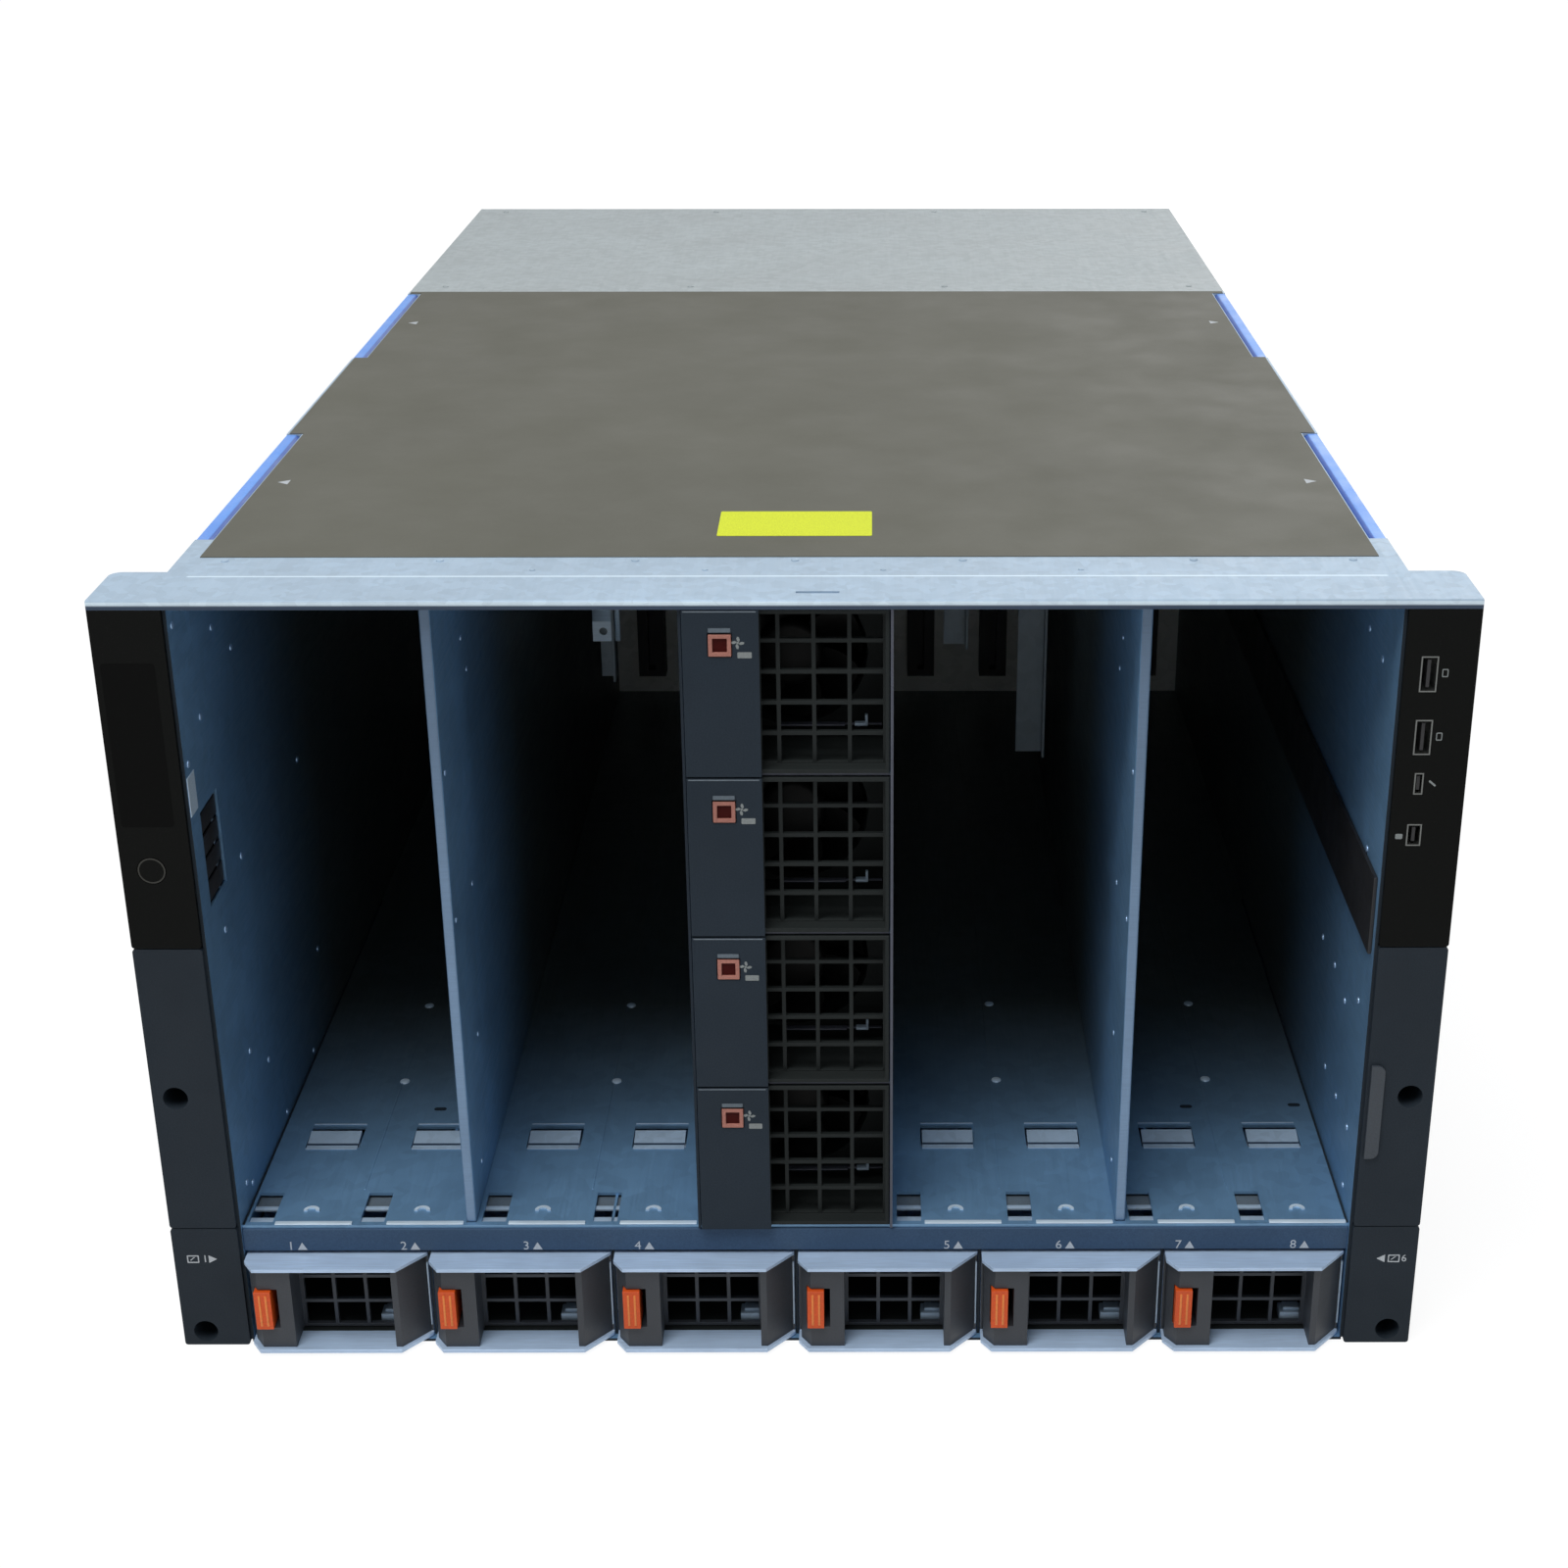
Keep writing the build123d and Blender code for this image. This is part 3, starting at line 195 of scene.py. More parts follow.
def add_node(tree, kind, inputs, **settings):
    """New shader node with its settings and inputs."""
    node = tree.nodes.new(f"ShaderNode{kind}")
    for name, value in settings.items():
        setattr(node, name, value)
    feed(tree, node, inputs)
    return node


def blank(name):
    """New material with its tree and shader, named apart from the slots of the frame."""
    material = bpy.data.materials.new(f"{name}_finish")
    material.use_nodes = True
    return material.node_tree, material.node_tree.nodes["Principled BSDF"]


def look(name):
    """Finish by its name."""
    return bpy.data.materials[f"{name}_finish"]


def coordinates(tree, stretch=(1.0, 1.0, 1.0)):
    """Object coordinates, stretched along the axes."""
    source = add_node(tree, "TexCoord", {}).outputs["Object"]
    return add_node(tree, "Mapping", {"Vector": source, "Scale": stretch}).outputs["Vector"]


def noise(tree, vector, scale, detail, roughness=0.55):
    """Noise at a scale per metre."""
    inputs = {"Vector": vector, "Scale": scale, "Detail": detail, "Roughness": roughness}
    return add_node(tree, "TexNoise", inputs).outputs["Fac"]


def spread(tree, value, low, high, start=0.3, end=0.7):
    """Map the usual span of a texture to a range."""
    inputs = {"Value": value, "From Min": start, "From Max": end, "To Min": low, "To Max": high}
    return add_node(tree, "MapRange", inputs).outputs["Result"]


def joined(tree, first, second, operation="ADD"):
    """Two values put together."""
    return add_node(tree, "Math", {0: first, 1: second}, operation=operation).outputs[0]


def two_tone(tree, factor, first, second, blend="MIX"):
    """Colour between two colours or colour sockets by a factor."""
    inputs = {0: factor, 6: first, 7: second}
    return add_node(tree, "Mix", inputs, data_type="RGBA", blend_type=blend).outputs[2]


def apart(tree, axis, middle=0.0):
    """Distance from a plane across one axis of the object coordinates."""
    part = add_node(tree, "SeparateXYZ", {0: coordinates(tree)}).outputs[axis]
    offset = joined(tree, part, middle, "SUBTRACT")
    return add_node(tree, "Math", {0: offset}, operation="ABSOLUTE").outputs[0]


def over(tree, shader, factor, tone, blend="MIX"):
    """Lay a colour over the colour of a finish by a factor."""
    below = shader.inputs["Base Color"].links[0].from_socket
    feed(tree, shader, {"Base Color": two_tone(tree, factor, below, tone, blend)})


def shade(finish, axis, middle, ends, span, tone, blend="MIX"):
    """Lay a colour over a finish by the distance from a plane."""
    tree, shader = finish
    over(tree, shader, spread(tree, apart(tree, axis, middle), *ends, *span), tone, blend)


def scaled(tone, share):
    """Colour made lighter or darker."""
    return (*(min(1.0, part * share) for part in tone[:3]), 1.0)


def paint(tree, shader, factor, tone, low, high):
    """Colour a finish between a darker and a lighter share of its tone."""
    feed(tree, shader, {"Base Color": two_tone(tree, factor, scaled(tone, low), scaled(tone, high))})


def raise_surface(tree, shader, height, distance, strength=1.0):
    """Bump from a height texture."""
    bump = add_node(tree, "Bump", {"Strength": strength, "Distance": distance, "Height": height})
    feed(tree, shader, {"Normal": bump.outputs["Normal"]})


def zinc_finish(name, tone, rough, metal, crystal=170.0):
    """Hot-dipped zinc: flat crystals, handling smears and fine rolling lines."""
    tree, shader = blank(name)
    vector = coordinates(tree)
    cells = add_node(tree, "TexVoronoi", {"Scale": crystal, "Vector": vector})
    part = add_node(tree, "SeparateColor", {"Color": cells.outputs["Color"]})
    smear = noise(tree, vector, 16.0, 5.0, 0.6)
    lines = noise(tree, coordinates(tree, (1.0, 0.04, 1.0)), 900.0, 2.0)
    crystals = spread(tree, part.outputs["Red"], 0.0, 0.45, 0.0, 1.0)
    paint(tree, shader, joined(tree, crystals, spread(tree, smear, 0.0, 0.55)), tone, 0.82, 1.1)
    worn = spread(tree, joined(tree, smear, lines, "MULTIPLY"), rough - 0.07, rough + 0.09, *PRODUCT)
    feed(tree, shader, {"Metallic": metal, "Roughness": worn})
    raise_surface(tree, shader, joined(tree, lines, part.outputs["Green"], "MULTIPLY"), 0.00003)
    return tree, shader


def moulded_finish(name, tone, rough, grain=1500.0, depth=0.00004, shine=0.4):
    """Moulded plastic: sparked grain, faint flow marks and rubbed patches."""
    tree, shader = blank(name)
    vector = coordinates(tree)
    flow = noise(tree, vector, 18.0, 4.0)
    rub = noise(tree, vector, 75.0, 4.0)
    fine = noise(tree, vector, grain, 2.0)
    mottle = spread(tree, joined(tree, flow, fine, "MULTIPLY"), 0.0, 1.0, *PRODUCT)
    paint(tree, shader, mottle, tone, 0.86, 1.14)
    worn = spread(tree, rub, rough - 0.06, rough + 0.08)
    feed(tree, shader, {"Roughness": worn, "Specular IOR Level": shine})
    raise_surface(tree, shader, fine, depth)
    return tree, shader


def gloss_finish(name, tone, rough):
    """Polished panel with fine dust and wipe marks in its sheen."""
    tree, shader = blank(name)
    wipe = noise(tree, coordinates(tree, (1.0, 1.0, 0.18)), 120.0, 4.0)
    dust = noise(tree, coordinates(tree), 2200.0, 1.0)
    paint(tree, shader, spread(tree, dust, 0.0, 1.0, 0.62, 0.8), tone, 1.0, 2.2)
    feed(tree, shader, {"Roughness": spread(tree, wipe, rough, rough + 0.1), "Specular IOR Level": 0.05})


def brushed_finish(name, tone, rough, stretch, metal):
    """Brushed or drawn metal with lines along one axis."""
    tree, shader = blank(name)
    lines = noise(tree, coordinates(tree, stretch), 1400.0, 3.0)
    patch = noise(tree, coordinates(tree), 30.0, 4.0)
    streaks = spread(tree, joined(tree, lines, patch, "MULTIPLY"), 0.0, 1.0, *PRODUCT)
    paint(tree, shader, streaks, tone, 0.86, 1.08)
    feed(tree, shader, {"Metallic": metal, "Roughness": spread(tree, lines, rough - 0.05, rough + 0.1)})
    raise_surface(tree, shader, lines, 0.00002)
    return tree, shader


def film_finish(name, tone):
    """Pressed dark film: an even satin face with soft waves, lint and scuffs."""
    tree, shader = blank(name)
    vector = coordinates(tree)
    wave = noise(tree, vector, 7.0, 3.0)
    lint = noise(tree, vector, 700.0, 2.0, 0.7)
    scuff = noise(tree, vector, 28.0, 4.0)
    worn = joined(tree, spread(tree, wave, 0.0, 0.6), spread(tree, lint, 0.0, 0.5, 0.55, 0.8))
    paint(tree, shader, worn, tone, 0.94, 1.1)
    feed(tree, shader, {"Roughness": spread(tree, scuff, 0.48, 0.6), "Specular IOR Level": 0.08})
    raise_surface(tree, shader, lint, 0.00004, 0.5)


def ink_finish(name, tone):
    """Screen print with slightly broken cover."""
    tree, shader = blank(name)
    broken = noise(tree, coordinates(tree), 2600.0, 2.0)
    paint(tree, shader, spread(tree, broken, 0.0, 1.0), tone, 0.72, 1.0)
    feed(tree, shader, {"Roughness": 0.62, "Specular IOR Level": 0.25})


# Mesh helpers

LOBES = 6  # Lobes of a screw drive
FONT_SHARE = 1.4  # Font size over the height of its digits
FORWARD = -0.9  # Y of the normal of a face that looks forward
BEVEL_ANGLE = math.radians(40.0)


def standing(point, normal):
    """Placing matrix whose Z runs along a normal."""
    return Matrix.Translation(point) @ Vector(normal).to_track_quat("Z", "Y").to_matrix().to_4x4()


def facing_front(x, depth, z):
    """Placing matrix of a mark that faces the viewer, X to the right and Y up."""
    return Matrix.Translation(at(x, depth, z)) @ Matrix.Rotation(math.pi / 2, 4, "X")


def add_block(bm, low, high, radius, segments=2):
    """Box between two corners with rounded edges."""
    low, high = Vector(low), Vector(high)
    place = Matrix.Translation((low + high) / 2) @ Matrix.Diagonal((*(high - low), 1.0))
    made = bmesh.ops.create_cube(bm, size=1.0, matrix=place)
    edges = list({edge for vert in made["verts"] for edge in vert.link_edges})
    bmesh.ops.bevel(bm, geom=edges, offset=radius, segments=segments, profile=0.5, affect="EDGES")


def add_turned(bm, profile, place, sides):
    """Profile of radius, height and lobe depth turned about Z of a placing matrix."""
    rings = []
    for radius, height, lobe in profile:
        if radius < NEAR:
            rings.append([bm.verts.new(place @ Vector((0.0, 0.0, height)))])
            continue
        ring = []
        for step in range(sides):
            angle = 2 * math.pi * step / sides
            out = radius * (1 + lobe * math.cos(LOBES * angle))
            point = Vector((out * math.cos(angle), out * math.sin(angle), height))
            ring.append(bm.verts.new(place @ point))
        rings.append(ring)
    for lower, upper in zip(rings, rings[1:]):
        for step in range(sides):
            corners = []
            for ring, index in ((lower, step), (lower, step + 1), (upper, step + 1), (upper, step)):
                vert = ring[index % len(ring)]
                if vert not in corners:
                    corners.append(vert)
            if len(corners) > 2:
                bm.faces.new(corners)


def add_rivet(bm, point, normal, share):
    """Domed rivet head."""
    radius = sizes().rivet * share
    rise = sizes().rivet_rise * share
    profile = (
        (0, 0, 0), (radius, 0, 0), (radius * 0.94, rise * 0.5, 0), (radius * 0.6, rise * 0.9, 0),
        (0, rise, 0),
    )
    add_turned(bm, profile, standing(point, normal), sides=14)


def add_screw(bm, point, normal, share):
    """Pan head screw with a six-lobed drive."""
    radius = sizes().screw * share
    rise = sizes().screw_rise * share
    profile = (
        (0, 0, 0), (radius, 0, 0), (radius, rise * 0.35, 0), (radius * 0.82, rise * 0.85, 0),
        (radius * 0.6, rise, 0), (radius * 0.46, rise, 0.14), (radius * 0.42, rise * 0.4, 0.14),
        (0, rise * 0.35, 0),
    )
    add_turned(bm, profile, standing(point, normal), sides=24)


def add_ring(bm, outline, place, height):
    """Ring of an outline in millimetres at a height over the plane of a placing matrix."""
    return [bm.verts.new(place @ Vector((x * MM, y * MM, height))) for x, y in outline]


def add_skin(bm, first, second):
    """Faces between two rings with the same number of points."""
    for step in range(len(first)):
        after = (step + 1) % len(first)
        bm.faces.new((first[step], first[after], second[after], second[step]))


def add_plate(bm, outline, place, thickness):
    """Thin plate of an outline."""
    back = add_ring(bm, outline, place, 0.0)
    front = add_ring(bm, outline, place, thickness)
    bm.faces.new(front)
    bm.faces.new(back[::-1])
    add_skin(bm, back, front)


def rounded(width, height, radius, steps=4):
    """Outline of a rectangle with rounded corners."""
    points = []
    for turn, (side, end) in enumerate(((1, 1), (-1, 1), (-1, -1), (1, -1))):
        for step in range(steps + 1):
            angle = math.pi / 2 * (turn + step / steps)
            points.append((side * (width / 2 - radius) + radius * math.cos(angle),
                           end * (height / 2 - radius) + radius * math.sin(angle)))
    return points


def add_band(bm, outer, inner, place, thickness):
    """Flat band between two outlines with the same number of points."""
    corners = ((outer, 0.0), (outer, thickness), (inner, thickness), (inner, 0.0))
    rows = [add_ring(bm, outline, place, height) for outline, height in corners]
    for first, second in zip(rows, rows[1:] + rows[:1]):
        add_skin(bm, first, second)


def polar(radius, turn):
    """Point of a circle at a turn in degrees."""
    angle = math.radians(turn)
    return radius * math.cos(angle), radius * math.sin(angle)


def circle(radius, sides):
    """Round outline."""
    return [polar(radius, 360 * step / sides) for step in range(sides)]


def add_digits(bm, words, height, place, thickness):
    """Printed digits, centred on a placing matrix."""
    line = bpy.data.curves.new("digits", "FONT")
    line.body = words
    line.size = height * FONT_SHARE
    line.align_x = "CENTER"
    line.align_y = "CENTER"
    line.resolution_u = 3
    line.extrude = thickness / 2
    holder = bpy.data.objects.new("digits", line)
    mesh = bpy.data.meshes.new_from_object(holder)
    mesh.transform(place @ Matrix.Translation((0, 0, thickness / 2)))
    bm.from_mesh(mesh)
    bpy.data.meshes.remove(mesh)
    bpy.data.objects.remove(holder)
    bpy.data.curves.remove(line)


def piece(name, bm, finish, body="chassis", sharp=32.0):
    """Finished mesh as an object that rides on a body."""
    bmesh.ops.recalc_face_normals(bm, faces=bm.faces)
    mesh = bpy.data.meshes.new(name)
    bm.to_mesh(mesh)
    bm.free()
    mesh.shade_smooth()
    mesh.set_sharp_from_angle(angle=math.radians(sharp))
    mesh.materials.append(look(finish))
    obj = bpy.data.objects.new(name, mesh)
    bpy.context.scene.collection.objects.link(obj)
    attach(obj, body)
    return obj


def blocks(name, pairs, radius, finish, body="chassis", segments=2):
    """Piece of rounded blocks between pairs of corners in millimetres."""
    bm = bmesh.new()
    for low, high in pairs:
        add_block(bm, at(*low), at(*high), radius * MM, segments)
    piece(name, bm, finish, body)


def rivets(name, heads, finish, body="chassis"):
    """Piece of rivets from points in millimetres, the ways they face and shares of the rivet size."""
    bm = bmesh.new()
    for point, normal, share in heads:
        add_rivet(bm, at(*point), normal, share)
    piece(name, bm, finish, body)


def top_rivets(rows, level):
    """Rivets on a level face, from rows of depth, share and places across."""
    return [((x, depth, level), (0, 0, 1), share) for depth, share, places in rows for x in places]


def dress(node, *finishes, edge=0.0):
    """Give a CAD node its finishes, the first one all over, and round the edges that show."""
    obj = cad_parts[node]
    mesh = obj.data
    mesh.materials.clear()
    for finish in finishes:
        mesh.materials.append(look(finish))
    mesh.polygons.foreach_set("material_index", [0] * len(mesh.polygons))
    if edge:
        obj.modifiers.new("weld", "WELD").merge_threshold = NEAR / 2
        bevel = obj.modifiers.new("round", "BEVEL")
        bevel.width = edge
        bevel.segments = 2
        bevel.limit_method = "ANGLE"
        bevel.angle_limit = BEVEL_ANGLE
        bevel.harden_normals = True


def pick(node, slot, test):
    """Give a finish to the faces of a CAD node whose corners all pass a test."""
    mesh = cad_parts[node].data
    for face in mesh.polygons:
        if all(test(mesh.vertices[index].co) for index in face.vertices):
            face.material_index = slot


def pick_front(node, slot, depth):
    """Give a finish to the faces that look forward, down to a depth."""
    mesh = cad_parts[node].data
    for face in mesh.polygons:
        if face.normal.y < FORWARD and face.center.y < deep(depth):
            face.material_index = slot


class CHASSIS_OT_finishes(bpy.types.Operator):
    """Make the finishes of all the pieces"""

    bl_idname = "chassis.finishes"
    bl_label = "Finishes"

    # Depths over which the painted deep shade sets in
    DEEP_SHADE_SPAN = (55 * MM, 190 * MM)
    LINE = (0.4 * MM, 0.9 * MM)
    # Depth and ends of the painted highlight line on the lip
    LIP_CREASE = 27.5
    LIP_ENDS = (212.5 * MM, 213.5 * MM)
    LIP_SHADE = (1.2 * MM, 1.9 * MM)
    TAB_CREASE = LANCE + 2.2
    DIVIDER_SHADE = (0.0, 150 * MM)
    HANDLE_EDGE = (217.9 * MM, 218.4 * MM)
    ALONG_X = (0.05, 1.0, 1.0)
    ALONG_Y = (1.0, 0.05, 1.0)

    def execute(self, context):
        tones = context.scene.chassis_colours
        self.sheets(tones)
        self.plastics(tones)
        film_finish("cover_film", tones.film)
        gloss_finish("gloss_black", tones.gloss, 0.14)
        gloss_finish("window_black", scaled(tones.gloss, 0.4), 0.08)
        ink_finish("print_ink", tones.ink)
        ink_finish("faint_ink", tones.faint)
        ink_finish("dim_ink", tones.dim_ink)
        ink_finish("sticker_paper", tones.sticker)
        return {"FINISHED"}

    def sheets(self, tones):
        """Zinc, steel and brushed metal."""
        # Painted shade: the zinc is multiplied darker with the depth behind the ear face
        deep_shade_ratio = (*(low / high for low, high in zip(tones.deep_shade[:3], tones.zinc[:3])), 1.0)
        zinc = zinc_finish("zinc_sheet", tones.zinc, 0.42, 0.4)
        shade(zinc, "Y", FACE_Y, (0.0, 1.0), self.DEEP_SHADE_SPAN, deep_shade_ratio, "MULTIPLY")
        zinc_finish("dark_steel", tones.back, 0.5, 0.2)
        zinc_finish("cage_edge", tones.cage, 0.5, 0.2)
        zinc_finish("lip_steel", tones.lip, 0.55, 0.2, 260.0)
        # Painted highlight: a bright line across the lip along its crease, inside the lip ends
        tree, shader = zinc_finish("lip_crease_highlight", tones.lip, 0.55, 0.2, 260.0)
        crease = spread(tree, apart(tree, "Y", deep(self.LIP_CREASE)), 1.0, 0.0, *self.LINE)
        inside = spread(tree, apart(tree, "X"), 1.0, 0.0, *self.LIP_ENDS)
        over(tree, shader, joined(tree, crease, inside, "MULTIPLY"), tones.bright)
        # Painted highlight and shade: the lip's front face is bright above and dark navy near the lip
        # underside
        front = zinc_finish("lip_front", tones.bright, 0.4, 0.2, 260.0)
        shade(front, "Z", LIP_UNDER, (1.0, 0.0), self.LIP_SHADE, tones.crease)
        # Painted shade: a dark line along the bend of the spring tabs
        tabs = zinc_finish("tab_steel", tones.lip, 0.5, 0.2, 260.0)
        shade(tabs, "Y", deep(self.TAB_CREASE), (1.0, 0.0), self.LINE, tones.crease)
        zinc_finish("cover_steel", tones.cover, 0.6, 0.1, 240.0)
        zinc_finish("rear_steel", tones.rear, 0.45, 0.3, 200.0)
        # Painted shade: the divider edges darken towards the top, under the lip
        edges = brushed_finish("cut_edge", tones.divider, 0.4, self.ALONG_X, 0.3)
        shade(edges, "Z", LIP_UNDER, (0.6, 0.0), self.DIVIDER_SHADE, scaled(tones.divider, 0.2))
        brushed_finish("bright_edge", tones.bright, 0.35, self.ALONG_X, 0.2)
        brushed_finish("rivet_steel", tones.edge, 0.3, (1.0, 1.0, 1.0), 0.5)
        brushed_finish("supply_silver", tones.silver, 0.4, self.ALONG_X, 0.2)
        brushed_finish("port_metal", tones.port, 0.3, self.ALONG_Y, 0.9)

    def plastics(self, tones):
        """Moulded plastics."""
        moulded_finish("matte_black", tones.matte, 0.55, shine=0.14)
        moulded_finish("strip_plastic", tones.strip, 0.5, shine=0.14)
        moulded_finish("fan_plastic", tones.fan, 0.5, shine=0.14)
        moulded_finish("grille_plastic", tones.grille, 0.5, shine=0.1)
        moulded_finish("rotor_plastic", tones.rotor, 0.4, 900.0, 0.00001, 0.1)
        moulded_finish("release_frame", tones.release, 0.5, shine=0.15)
        moulded_finish("release_core", tones.release_core, 0.5, shine=0.08)
        moulded_finish("latch_orange", tones.latch, 0.38, 1100.0, 0.00002)
        moulded_finish("latch_rib_highlight", tones.latch_rib_highlight, 0.35, 1100.0, 0.00002)
        moulded_finish("bezel_plastic", tones.bezel, 0.5)
        moulded_finish("tag_plastic", tones.tag, 0.45)
        moulded_finish("worn_and_highlight_plastic", tones.worn, 0.45)
        moulded_finish("connector_plastic", tones.socket, 0.45)
        moulded_finish("circuit_board", tones.board, 0.35, 500.0)
        # Painted shade: the handles darken towards their inner edge
        handles = moulded_finish("handle_blue", tones.blue, 0.4, 1000.0, 0.00002)
        shade(handles, "X", 0.0, (1.0, 0.0), self.HANDLE_EDGE, tones.handle_painted_shade)


class CHASSIS_OT_sheet_metal(bpy.types.Operator):
    """Finish the sheet metal of the body, with its rivets"""

    bl_idname = "chassis.sheet_metal"
    bl_label = "Sheet metal"

    OUTER_SKIN = 1.3 * MM
    FRONT_REACH = 12.0
    LIP_REACH = 3.0
    # Left part of the cage front, painted dark as shade in the fan plate colour
    CAGE_SHADE_SIDE = -30 * MM
    CAGE_SHADE_DEPTH = 3.0
    # Depth, share of the rivet size and places across
    STRIP_RIVETS = ((50, 1.1, (-127, -56, 2, 63, 147, -205, 205)), (38.5, 0.8, (-92, -30, 34, 105)))
    COVER_RIVETS = ((556, 1.3, (-205, -70, 70, 205)), (800, 1.3, (-205, -70, 70, 205)))
    # Height and depths of the rivets on the outer walls
    SIDE_RIVETS = ((9, range(60, 800, 92)), (150, range(60, 800, 92)), (296, (560, 640, 720, 796)))
    WALL_INSET = 0.6

    def execute(self, context):
        edge_round = sizes().sheet_round
        for node in ("base_pan", "left_side_wall", "right_side_wall", "psu_dividers"):
            dress(node, "zinc_sheet", "matte_black", "cover_steel")
            pick(node, 2, lambda p: abs(p.x) > OUTER_HALF - self.OUTER_SKIN)
            pick_front(node, 1, self.FRONT_REACH)
        dress("rack_ears", "lip_steel")
        dress("bay_dividers", "zinc_sheet", "cut_edge", edge=3 * edge_round)
        pick_front("bay_dividers", 1, self.FRONT_REACH)
        dress("bay_floor", "zinc_sheet", "tab_steel")
        pick("bay_floor", 1, lambda p: p.z > FLOOR_TOP + NEAR or abs(p.y - deep(LANCE)) < NEAR)
        dress("fan_cage", "zinc_sheet", "cage_edge", "fan_plastic")
        pick_front("fan_cage", 1, self.FRONT_REACH)
        # Painted shade: front faces at the left of the fan cage take the dark fan plate colour
        pick("fan_cage", 2, lambda p: p.x < self.CAGE_SHADE_SIDE and p.y < deep(self.CAGE_SHADE_DEPTH))
        dress("connector_bulkhead", "dark_steel")
        dress("front_top_cover", "lip_steel")
        dress("front_lip", "lip_crease_highlight", "lip_front", edge=edge_round)
        pick_front("front_lip", 1, self.LIP_REACH)
        dress("rear_top_cover", "cover_steel", edge=edge_round)
        strip = top_rivets(self.STRIP_RIVETS, COVER_TOP / MM)
        rivets("strip_rivets", strip, "lip_steel")
        cover = top_rivets(self.COVER_RIVETS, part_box("rear_top_cover")[1].z / MM)
        rivets("cover_rivets", cover, "cover_steel")
        # Outer faces of the side walls
        heads = []
        for side, node in ((-1, "left_side_wall"), (1, "right_side_wall")):
            low, high = reach(node)
            outer = (low.x if side < 0 else high.x) - side * self.WALL_INSET
            for z, depths in self.SIDE_RIVETS:
                heads += [((outer, depth, z), (side, 0, 0), 1.2) for depth in depths]
        rivets("side_rivets", heads, "rivet_steel")
        return {"FINISHED"}


class CHASSIS_OT_top_film(bpy.types.Operator):
    """Finish the dark film on the cover, with a plain sticker and arrows to the handles"""

    bl_idname = "chassis.top_film"
    bl_label = "Cover film"

    STICKER = (58.2, 32.5, 0.8)
    STICKER_PLACE = (0.9, 95.8)
    ARROW_SIDE = 209
    ARROW_DEPTHS = (155, 460)
    ARROW = (4.5, 3.2)

    def execute(self, context):
        film = sizes().print_film
        dress("cover_film", "cover_film")
        top = FILM_TOP / MM
        bm = bmesh.new()
        add_plate(bm, rounded(*self.STICKER), Matrix.Translation(at(*self.STICKER_PLACE, top)), 2 * film)
        piece("plain_sticker", bm, "sticker_paper")
        bm = bmesh.new()
        long, half = self.ARROW
        for side in (-1, 1):
            for depth in self.ARROW_DEPTHS:
                tip = Matrix.Translation(at(side * self.ARROW_SIDE, depth, top))
                add_plate(bm, ((0, 0), (-side * long, half), (-side * long, -half)), tip, film)
        piece("handle_arrows", bm, "print_ink")
        return {"FINISHED"}


